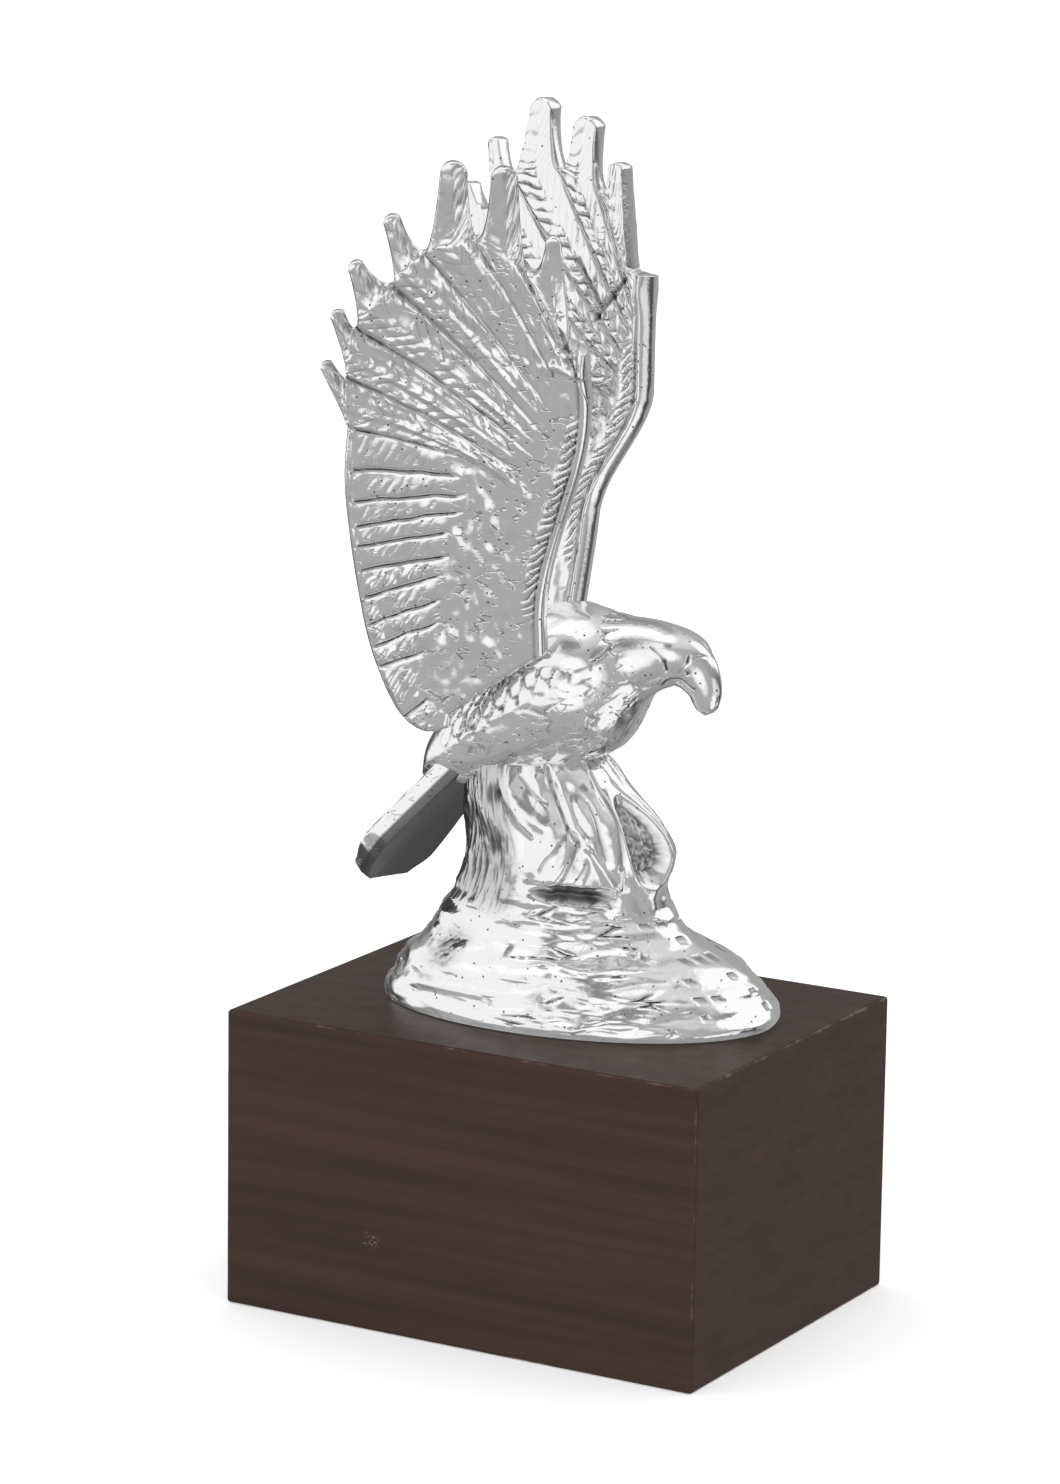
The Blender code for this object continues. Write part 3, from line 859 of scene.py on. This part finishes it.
def knee_carving(degrees, level, spot):
    around = remainder(degrees - HOLLOW["angle"], 360.0) / HOLLOW["half_turn"]
    ring = hypot(around, (level - HOLLOW["level"]) / HOLLOW["half_level"])
    inside = ramp(1.0, 0.6, ring)
    rough = grain(*spot, 0.9) + 0.5 * grain(*spot, 0.45)
    height = inside * (HOLLOW["depth"] + 0.4 * rough) + HOLLOW["rim"] * bump(ring - 1.05, 0.16)
    return height, inside * (0.4 + 0.4 * ramp(0.1, -0.3, rough))


print("the knee's hollow is", -HOLLOW["depth"], "mm deep")

# %% Thin layers round the foot, and rows of block marks punched on its right
PUNCHED = (-36.0, 14.0, 2.2, 21.0)
PUNCH_PITCH = 3.8
PUNCH_ROW = 2.9
PUNCH_DEPTH = 0.42


def foot_carving(degrees, level, spot, ring):
    foot = ramp(0.3, 2.0, level) * ramp(26.0, 20.0, level)
    lens = crack(0.3 * spot.x, 0.3 * spot.y, 1.3 * level + 0.9 * grain(spot.x, spot.y, 1.0, 9.0), 2.4)
    layered = ramp(-112.0, -92.0, degrees) * ramp(-34.0, -42.0, degrees)
    if degrees > 10.0 or degrees < -165.0:
        layered = ramp(10.0, 24.0, abs(degrees))
    line = bump(lens, 0.17) * ramp(0.05, 0.3, grain(0.5 * spot.x, 0.5 * spot.y, level, 3.0))
    height = foot * layered * (0.16 * ramp(0.0, 0.9, lens) - 0.55 * line)
    height += foot * 0.9 * grain(0.1 * spot.x, 0.1 * spot.y, 0.42 * level)
    height += foot * layered * 0.1 * grain(0.3 * spot.x, 0.3 * spot.y, 1.3 * level)
    dirt = foot * layered * line
    arc = radians(degrees) * 0.5 * (ring[3] + ring[4])
    q = level / PUNCH_ROW
    row = floor(q)
    p = arc / PUNCH_PITCH + 0.5 * (row % 2)
    column = floor(p)
    dx = abs(p - column - 0.5) * PUNCH_PITCH
    dy = abs(q - row - 0.5) * PUNCH_ROW
    left, right, low, high = PUNCHED
    here = left < degrees < right and low < level < high
    if here and grain(column * 1.7, row * 2.3, 5.0) > -0.12:
        dent = ramp(1.3, 1.05, dx) * ramp(0.7, 0.45, dy)
        height -= PUNCH_DEPTH * dent
        # Painted shade: the upper part of each dent is darkened, as shade under its upper lip.
        dirt += 0.6 * dent * ramp(0.2, 0.6, q - row)
    return height, dirt


print("block marks are", PUNCH_PITCH, "mm apart in rows of", PUNCH_ROW, "mm")

# %% The lobe on the left of the foot: level cuts, and one rough patch
LOBE = rock_place(-129.0, 12.2)


def lobe_carving(degrees, level, spot):
    away = (spot - LOBE).length
    side = ramp(-170.0, -156.0, degrees) * ramp(-104.0, -118.0, degrees)
    bent = level + 0.7 * grain(*spot, 7.0)
    rings = side * ramp(2.0, 3.0, level) * ramp(10.0, 8.0, level)
    cut = rings * bump(sin(2.0 * pi * bent / 2.6) + 1.0, 0.12)
    cut *= ramp(-0.1, 0.2, grain(*spot, 4.5))
    patch = bump(away / 1.3 + 1.5 * grain(*spot, 5.0), 2.6) * (level < 20.0)
    rough = grain(*spot, 0.8)
    height = patch * (0.5 * rough - 1.4) - 0.3 * cut
    return height, 0.6 * cut + patch * (0.5 + 0.4 * ramp(0.0, 0.3, rough))


print("the rough patch is", round(LOBE.z, 1), "mm up")


# %% The rock as one net of rings, with all its relief
WAVE = 0.5
KNEE = dict(bulge=2.6, level=32.0, reach=5.5, angle=0.1, breadth=0.5)


def rock_relief(degrees, level, spot, ring):
    angle = radians(degrees)
    wave = sin(3.0 * angle + 1.9) + sin(5.0 * angle + level * 0.12)
    height = WAVE * wave * ramp(0.0, 12.0, level)
    bend = remainder(angle - KNEE["angle"], 2.0 * pi)
    high = (level - KNEE["level"]) / KNEE["reach"]
    height += KNEE["bulge"] * exp(-(bend / KNEE["breadth"]) ** 2 - high ** 2)
    dirt = 0.0
    for carving in (leg_carving(degrees, level, spot) if level > 20.0 else (0.0, 0.0),
                    knee_carving(degrees, level, spot), lobe_carving(degrees, level, spot),
                    foot_carving(degrees, level, spot, ring)):
        height += carving[0]
        dirt += carving[1]
    flank = ramp(18.0, 24.0, level) * ramp(-96.0, -108.0, degrees if degrees < 0.0 else degrees - 360.0)
    fuzz = grain(degrees / 2.2, level / 5.0, 3.0)
    height += flank * (0.35 * fuzz + 0.15 * grain(degrees / 1.0, level / 2.5, 9.0))
    # Painted shade on the left flank of the rock, deepest in the low spots of its rough skin.
    dirt += flank * (0.35 + 0.5 * ramp(0.0, 0.35, -fuzz)) * (degrees < 0.0)
    height += 0.06 * grain(*spot, 1.8) + 0.03 * grain(*spot, 0.8)
    return height, dirt


def rock_rule(a, b):
    share = (b * (ROCK_UP + 2) - 1.0) / ROCK_UP
    ring = along(ROCK, share)
    degrees = 360.0 * a if a <= 0.5 else 360.0 * a - 360.0
    angle = radians(degrees)
    level = ring[0]
    close = float(-0.001 <= share <= 1.001)
    out = Vector((cos(angle), sin(angle), 0.0))
    plain = Vector((out.x * ring[3], out.y * ring[4], 0.0))
    spot = Vector((ring[1] + plain.x, ring[2] + plain.y, level))
    height, dirt = rock_relief(degrees, level, spot, ring)
    worn = 0.12 * ramp(26.0, 20.0, level) * (degrees < -30.0 or degrees > 20.0)
    flat = Matrix.Rotation(ROCK_TURN, 3, "Z") @ ((plain + out * height) * close)
    return seat((ring[1] + flat.x, ring[2] + flat.y, level)), min(max(dirt, 0.0), 1.0), 0.0, 0.0, worn


bm = bmesh.new()
net(bm, ROCK_AROUND, ROCK_UP + 2, rock_rule)
rock = finished("rock", bm)

# %% [markdown]
# The tail is a thick fan that slopes down behind the rock, arched across, with long quills.
# Feathers could be laid side by side, but on the casting they have run together into one
# plate. So it is one net with waves across it, thickened by mirroring, and then arched.

# %% Tail
TAIL_ROOT = Vector((-12.7, 0.0, 53.3))
TAIL_SLOPE = radians(47.5)
TAIL_LENGTH = 44.5
TAIL_HALF_ROOT = 8.0
TAIL_HALF_TIP = 12.5
TAIL_ARCH = 3.8
TAIL_SKEW = 4.2
TAIL_ROUNDING = 0.13
TAIL_HALF_THICKNESS = 2.0
TAIL_EDGE = 0.9
TAIL_COLUMNS = 96
TAIL_ROWS = 140


def tail_rule(a, b):
    across = 2.0 * to_edges(a) - 1.0
    width = TAIL_HALF_ROOT + (TAIL_HALF_TIP - TAIL_HALF_ROOT) * ramp(0.0, 1.0, b)
    width *= 1.0 - TAIL_ROUNDING * ramp(0.85, 1.0, b)
    length = TAIL_LENGTH * (1.0 - TAIL_ROUNDING * across * across) + TAIL_SKEW * across
    side = (1.0 - abs(across)) * width
    quill = 0.3 + 0.3 * cos(2.0 * pi * (across + 1.0))
    fine = 0.18 + 0.18 * sin(2.0 * pi * across * width / 1.1)
    fine *= ramp(0.2, 0.4, b) * ramp(0.97, 0.9, b)
    room = min(side, (1.0 - b) * length)
    h = TAIL_HALF_THICKNESS + quill + fine * ramp(0.0, 1.5, room)
    return Vector((length * b, across * width, h * edge_profile(room, TAIL_EDGE))), 0.0, 0.0, 0.0, 0.5


print("the tail is", TAIL_LENGTH, "mm long")

# %% The tail's net: thickened, arched, and hung behind the rock
# Painted shade: every corner on the underside of the tail is darkened, as shade under the tail.
UNDER_PAINTED_SHADE = 0.85
bm = bmesh.new()
net(bm, TAIL_COLUMNS, TAIL_ROWS, tail_rule)
for vert in under_face(bm):
    vert.co.z = -min(vert.co.z, TAIL_HALF_THICKNESS)
    # Painted shade: the underside's corners are darkened as shade under the tail.
    vert[bm.verts.layers.float["grime_and_shade"]] = UNDER_PAINTED_SHADE
tail_way = Vector((-cos(TAIL_SLOPE), 0.0, -sin(TAIL_SLOPE)))
tail_top = Vector((-sin(TAIL_SLOPE), 0.0, cos(TAIL_SLOPE)))
for vert in bm.verts:
    length, across, h = vert.co
    droop = TAIL_ARCH * (max(across, 0.0) / TAIL_HALF_TIP) ** 2
    spot = TAIL_ROOT + tail_way * length + tail_top * (h - droop)
    vert.co = seat(spot + Vector((0.0, across, 0.0)))
tail = finished("tail", bm)

# %% [markdown]
# The casting is white metal, buffed and plated. To the eye it is a neutral mirror, broken by
# pinholes, file marks and soot in the hollows. One plain mirror colour would look like
# glass, so the carving's own marks call for soot, which is darker and rougher. The same
# darkening also paints shade: under the tail, round the body's scales, in the slot under the
# rock's shelf, at the top of each punched dent and on the rock's left flank. File marks
# and pinholes are drawn coarser than real ones, so that they show at this size.

# %% Helpers for materials
def linear(code):
    parts = [int(code[i:i + 2], 16) / 255.0 for i in (1, 3, 5)]
    curve = [p / 12.92 if p <= 0.04045 else ((p + 0.055) / 1.055) ** 2.4 for p in parts]
    return (*curve, 1.0)


def node(tree, kind, settings=None, inputs=None):
    made = tree.nodes.new("ShaderNode" + kind)
    for word, setting in (settings or {}).items():
        setattr(made, word, setting)
    for socket, value in (inputs or {}).items():
        if isinstance(value, bpy.types.NodeSocket):
            tree.links.new(value, made.inputs[socket])
        else:
            made.inputs[socket].default_value = value
    return made


def new_material(name):
    material = bpy.data.materials.new(name)
    material.use_nodes = True
    return material, material.node_tree, material.node_tree.nodes["Principled BSDF"]


print("mid grey is", round(linear("#808080")[0], 3), "as light")

# %% Marks of the carving, and clouds and file marks of the metal
NOISES = {"cloud": (0.006, 3.0), "shaken": (0.0022, 2.0), "patches": (0.0024, 2.0),
          "file marks": (0.0009, 2.0)}
metal, tree, shader = new_material("polished plated casting")
place = node(tree, "TexCoord").outputs["Object"]
parts = {}
for word in MARKS:
    parts[word] = node(tree, "Attribute", {"attribute_name": word}).outputs["Fac"]
for title, (size, detail) in NOISES.items():
    clouds = node(tree, "TexNoise", {}, {"Scale": 1.0 / size, "Detail": detail, "Vector": place})
    parts[title] = clouds.outputs["Fac"]
print("clouds in the polish are", NOISES["cloud"][0] * 1000, "mm across")

# %% Cells of the pinholes, and flatter cells whose borders are cracks
PIT_SPACING = 0.0018
CRACK_SPACING = 0.0021
FLATTENED = (0.6, 0.6, 1.4)
cells = node(tree, "TexVoronoi", {}, {"Scale": 1.0 / PIT_SPACING, "Vector": place})
flat = node(tree, "Mapping", {}, {"Scale": FLATTENED, "Vector": place}).outputs["Vector"]
cracks = node(tree, "TexVoronoi", {"feature": "DISTANCE_TO_EDGE"},
              {"Scale": 1.0 / CRACK_SPACING, "Vector": flat})
parts["middle"] = cells.outputs["Distance"]
parts["kind"] = cells.outputs["Color"]
parts["border"] = cracks.outputs["Distance"]
print("pinholes keep", PIT_SPACING * 1000, "mm apart")

# %% Barbs, pits, cracks and their soot, roughness and relief
STEPS = [("angle", "MULTIPLY_ADD", "shaken", 0.4, "barb"), ("angle", "MULTIPLY", "angle", pi),
         ("wave", "SINE", "angle"), ("wave", "ABSOLUTE", "wave"),
         ("pit", "RANGE", "middle", 0.06, 0.16, 1.0, 0.0), ("rare", "RANGE", "kind", 0.36, 0.41),
         ("pit", "MULTIPLY", "pit", "rare"), ("groove", "RANGE", "wave", 0.1, 0.45, 1.0, 0.0),
         ("groove", "MULTIPLY", "groove", "carved"), ("crack", "RANGE", "border", 0.01, 0.09, 0.7, 0.0),
         ("patches", "RANGE", "patches", 0.56, 0.64), ("crack", "MULTIPLY", "crack", "patches"),
         ("crack", "MULTIPLY", "crack", "worn"), ("soot", "MAXIMUM", "grime_and_shade", "pit"),
         ("hollow", "MAXIMUM", "groove", "crack"), ("hollow", "MULTIPLY", "hollow", 0.65),
         ("soot", "MAXIMUM", "soot", "hollow"), ("rough", "RANGE", "cloud", 0.0, 1.0, 0.07, 0.17),
         ("rough", "MULTIPLY_ADD", "soot", 0.35, "rough"), ("strokes", "MULTIPLY", "wave", "carved"),
         ("strokes", "SUBTRACT", "strokes", "crack"),
         ("fine", "MULTIPLY_ADD", "pit", -1.2, "file marks")]
for title, does, *terms in STEPS:
    kind, settings = ("MapRange", {}) if does == "RANGE" else ("Math", {"operation": does})
    inputs = {i: parts.get(term, term) for i, term in enumerate(terms)}
    parts[title] = node(tree, kind, settings, inputs).outputs[0]
print(len(STEPS), "steps from the marks to the metal")

# %% Polished and plated casting
STROKE_DEPTH = 0.0003
FINE_DEPTH = 0.0001
# The soot factor also carries painted shade: under the tail, round the body's scales, in the shelf's slot, at
# the top of each punched dent and on the rock's left flank.
colour = node(tree, "Mix", {"data_type": "RGBA"},
              {"A": linear("#ededed"), "B": linear("#484645"), "Factor": parts["soot"]})
deep = node(tree, "Bump", {}, {"Strength": 0.8, "Distance": STROKE_DEPTH, "Height": parts["strokes"]})
relief = node(tree, "Bump", {}, {"Strength": 0.3, "Distance": FINE_DEPTH, "Height": parts["fine"],
                                 "Normal": deep.outputs["Normal"]})
tree.links.new(colour.outputs["Result"], shader.inputs["Base Color"])
tree.links.new(parts["rough"], shader.inputs["Roughness"])
tree.links.new(relief.outputs["Normal"], shader.inputs["Normal"])
shader.inputs["Metallic"].default_value = 1.0
print(metal.name, "has strokes", STROKE_DEPTH * 1000, "mm deep")

# %% Dress and mount the casting
cast_pieces = [near_wing, far_wing, body, shoulders, rock, tail]
for piece in cast_pieces:
    piece.data.materials.append(metal)
    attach(piece, "root")
    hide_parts("eagle")
print(len(cast_pieces), "cast pieces")

# %% [markdown]
# The block is stained hardwood veneer under satin lacquer. To the eye it is very dark brown,
# with faint streaks along the grain, pale rubbed arrises and one small scuff. One flat brown
# would look moulded. The streaks are a noise drawn out along the block, and the rubbing comes
# from the distance to the nearest arris, so that it follows the real edges.

# %% Grain of the veneer, which lies along the block on its sides and on its top
STREAKS_PER_METRE = (14.0, 60.0, 420.0)
wood, tree, shader = new_material("dark stained veneer")
place = node(tree, "TexCoord").outputs
spot = place["Object"]
facing = node(tree, "SeparateXYZ", {}, {"Vector": place["Normal"]}).outputs["Z"]
on_top = node(tree, "MapRange", {}, {"From Min": 0.6, "From Max": 0.8, "Value": facing})
long, broad, thin = STREAKS_PER_METRE
side = node(tree, "Mapping", {}, {"Scale": (long, broad, thin), "Vector": spot})
top = node(tree, "Mapping", {}, {"Scale": (long, thin, broad), "Vector": spot})
streak = node(tree, "Mix", {"data_type": "VECTOR"}, {"Factor": on_top.outputs["Result"],
              "A": side.outputs["Vector"], "B": top.outputs["Vector"]}).outputs["Result"]
veins = node(tree, "TexNoise", {}, {"Scale": 1.0, "Detail": 4.0, "Vector": streak}).outputs["Fac"]
print("streaks in mm:", [round(1000.0 / count, 1) for count in STREAKS_PER_METRE])

# %% Rubbed places: near the arrises, and one scuff on the long face
ARRIS_WEAR = 0.0022
MOTTLE = 0.004
SCUFF = Vector((-0.0184, -0.0390, 0.018))
SCUFF_SIZE = 0.0022
SCRATCH_WIDTH = 0.0005
low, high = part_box("plinth")
parts = {"veins": veins}
for title, size, detail in (("rubbed", MOTTLE, 4.0), ("scratch", SCRATCH_WIDTH, 2.0)):
    clouds = node(tree, "TexNoise", {}, {"Scale": 1.0 / size, "Detail": detail, "Vector": spot})
    parts[title] = clouds.outputs["Fac"]
away = node(tree, "VectorMath", {"operation": "DISTANCE"}, {0: spot, 1: SCUFF})
parts["away"] = away.outputs["Value"]
axes = node(tree, "SeparateXYZ", {}, {"Vector": spot}).outputs
STEPS = []
for i, axis in enumerate("XYZ"):
    parts[axis] = axes[axis]
    STEPS += [(axis, "SUBTRACT", axis, 0.5 * (low[i] + high[i])), (axis, "ABSOLUTE", axis),
              (axis, "SUBTRACT", 0.5 * (high[i] - low[i]), axis)]
STEPS += [("XY", "MAXIMUM", "X", "Y"), ("YZ", "MAXIMUM", "Y", "Z"), ("ZX", "MAXIMUM", "Z", "X"),
          ("arris", "MINIMUM", "XY", "YZ"), ("arris", "MINIMUM", "arris", "ZX"),
          ("arris", "MULTIPLY_ADD", "rubbed", ARRIS_WEAR, "arris"),
          ("arris", "RANGE", "arris", 0.36 * ARRIS_WEAR, 0.62 * ARRIS_WEAR, 0.6, 0.0),
          ("scuff", "RANGE", "away", 0.4 * SCUFF_SIZE, SCUFF_SIZE, 1.0, 0.0),
          ("scratch", "RANGE", "scratch", 0.56, 0.66), ("scuff", "MULTIPLY", "scuff", "scratch"),
          ("bare", "MAXIMUM", "arris", "scuff"), ("tone", "RANGE", "veins", 0.3, 0.7),
          ("satin", "RANGE", "rubbed", 0.0, 1.0, 0.34, 0.5)]
for title, does, *terms in STEPS:
    kind, settings = ("MapRange", {}) if does == "RANGE" else ("Math", {"operation": does})
    inputs = {i: parts.get(term, term) for i, term in enumerate(terms)}
    parts[title] = node(tree, kind, settings, inputs).outputs[0]
print("arrises are rubbed over", ARRIS_WEAR * 1000, "mm")

# %% Stained veneer under satin lacquer
PORE_DEPTH = 0.0001
stain = node(tree, "Mix", {"data_type": "RGBA"},
             {"A": linear("#36261d"), "B": linear("#432e23"), "Factor": parts["tone"]})
colour = node(tree, "Mix", {"data_type": "RGBA"},
              {"A": stain.outputs["Result"], "B": linear("#8a7a70"), "Factor": parts["bare"]})
pores = node(tree, "Bump", {}, {"Strength": 0.25, "Distance": PORE_DEPTH, "Height": veins})
tree.links.new(colour.outputs["Result"], shader.inputs["Base Color"])
tree.links.new(parts["satin"], shader.inputs["Roughness"])
tree.links.new(pores.outputs["Normal"], shader.inputs["Normal"])
shader.inputs["Specular IOR Level"].default_value = 0.2
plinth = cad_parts["plinth"]
plinth.data.materials.clear()
plinth.data.materials.append(wood)
plinth.visible_glossy = False
print(wood.name, "is on the block")

# %% [markdown]
# The camera stands where the photograph was taken, far off with a long lens. The stage is a
# pale floor in soft studio light. Lamps could be hung in it, but a mirror shows the whole
# room, so the room itself is drawn: bright above, with greyer and darker parts low down.

# %% Camera
LENS = 139.197
CAMERA_PLACE = (0.5246, -0.9266, 0.3489)
CAMERA_TURN = (77.33871, -0.80982, 30.05191)
camera_data = bpy.data.cameras.new("photo camera")
camera_data.lens = LENS
camera_data.clip_start = 0.01
camera = bpy.data.objects.new("photo camera", camera_data)
camera.location = CAMERA_PLACE
camera.rotation_euler = [radians(x) for x in CAMERA_TURN]
bpy.context.scene.collection.objects.link(camera)
bpy.context.scene.camera = camera
print("the camera is", round(Vector(CAMERA_PLACE).length, 2), "m away")

# %% Floor
FLOOR_SIZE = 20.0
FLOOR_GLOW = 0.3
bm = bmesh.new()
bmesh.ops.create_grid(bm, x_segments=2, y_segments=2, size=FLOOR_SIZE)
mesh = bpy.data.meshes.new("floor")
bm.to_mesh(mesh)
bm.free()
ground = bpy.data.objects.new("floor", mesh)
bpy.context.scene.collection.objects.link(ground)
paper, tree, shader = new_material("white paper floor")
for socket, value in (("Base Color", linear("#fdfdfd")), ("Roughness", 0.9),
                      ("Emission Color", linear("#ffffff")), ("Emission Strength", FLOOR_GLOW)):
    shader.inputs[socket].default_value = value
ground.data.materials.append(paper)
ground.visible_glossy = False
ground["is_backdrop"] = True
print("the floor is a stage of", paper.name)

# %% Light of the room: soft bands across and up
RAMPS = {"front": ("Y", 0.35, -0.5, 0.0, 0.47), "back": ("Y", 0.55, 0.9, 0.08, 0.42),
         "down": ("Z", -0.98, -0.55, 0.85, 1.0), "below": ("Z", -0.5, -0.8, 0.0, 0.36),
         "low sky": ("Z", -0.2, 0.3, 0.0, 0.38), "high sky": ("Z", 0.3, 0.95, 0.0, 0.4),
         "wall": ("X", 0.45, 0.05, 0.0, 1.05), "wall front": ("Y", 0.45, 0.2, 0.0, 1.0),
         "wall foot": ("Z", -0.46, -0.18, 0.0, 1.0), "wall top": ("Z", 0.65, 0.4, 0.0, 1.0)}
STEPS = [("front", "MAXIMUM", "back"), ("front", "MULTIPLY", "down"), ("low sky", "ADD", "high sky"),
         ("wall", "MULTIPLY", "wall front"), ("wall", "MULTIPLY", "wall foot"),
         ("wall", "MULTIPLY", "wall top"), ("front", "MAXIMUM", "low sky"),
         ("front", "MAXIMUM", "below"), ("front", "MAXIMUM", "wall")]
SOFT = {"interpolation_type": "SMOOTHSTEP"}
world = bpy.data.worlds.new("studio room")
bpy.context.scene.world = world
world.use_nodes = True
tree = world.node_tree
tree.nodes.clear()
view = node(tree, "TexCoord").outputs["Generated"]
split = node(tree, "SeparateXYZ", {}, {"Vector": view}).outputs
parts = {}
for title, (axis, *limits) in RAMPS.items():
    parts[title] = node(tree, "MapRange", SOFT, dict(enumerate([split[axis], *limits]))).outputs[0]
for title, operation, other in STEPS:
    parts[title] = node(tree, "Math", {"operation": operation},
                        {0: parts[title], 1: parts[other]}).outputs[0]
room = parts["front"]
print(len(RAMPS), "bands of light")

# %% Lit panels and dark gaps: direction, outer and inner limit, light
PANELS = [("overhead", "MAXIMUM", (-0.3, -0.1, 1.0), 0.64, 0.95, 0.0, 1.2),
          ("left", "MAXIMUM", (-0.55, -0.45, 0.70), 0.64, 0.93, 0.0, 1.05),
          ("low right", "MAXIMUM", (0.85, -0.1, -0.65), 0.90, 0.98, 0.0, 1.1),
          ("high right", "MAXIMUM", (0.6, 0.55, 0.6), 0.82, 0.91, 0.0, 1.15),
          ("behind the camera", "MAXIMUM", (0.3, -0.95, -0.05), 0.76, 0.97, 0.0, 1.15),
          ("behind the bird", "MAXIMUM", (0.48, 0.85, -0.22), 0.84, 0.95, 0.0, 0.35),
          ("right", "MAXIMUM", (0.98, 0.0, -0.2), 0.92, 0.985, 0.0, 0.85),
          ("dark gap", "MULTIPLY", (0.05, -0.58, 0.81), 0.93, 0.99, 1.0, 0.4),
          ("ceiling strip", "MULTIPLY", (-0.48, 0.5, 0.72), 0.90, 0.98, 1.0, 0.5)]
for title, operation, direction, *limits in PANELS:
    lean = node(tree, "VectorMath", {"operation": "DOT_PRODUCT"},
                {0: view, 1: Vector(direction).normalized()}).outputs["Value"]
    panel = node(tree, "MapRange", SOFT, dict(enumerate([lean, *limits]))).outputs[0]
    room = node(tree, "Math", {"operation": operation}, {0: room, 1: panel}).outputs[0]
    print(title, "panel, light", limits[-1])

# %% White ground behind the work, and an even light on matt things
WHITE_GROUND = 1.0
EVEN_LIGHT = 1.2
EVEN_SHARE = 0.5
path = node(tree, "LightPath").outputs
spread = node(tree, "Math", {"operation": "MULTIPLY"},
              {0: path["Is Diffuse Ray"], 1: EVEN_SHARE}).outputs[0]
for ray, level in ((spread, EVEN_LIGHT), (path["Is Camera Ray"], WHITE_GROUND)):
    room = node(tree, "Mix", {"data_type": "FLOAT"}, {"A": room, "B": level, "Factor": ray}).outputs["Result"]
back = node(tree, "Background", {}, {"Color": room}).outputs["Background"]
node(tree, "OutputWorld", {}, {"Surface": back})
bpy.context.scene.view_settings.view_transform = "Standard"
print("ground behind the work:", WHITE_GROUND)

# %% Size of the scene as it stands
low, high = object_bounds()
print("visual box", low, high)
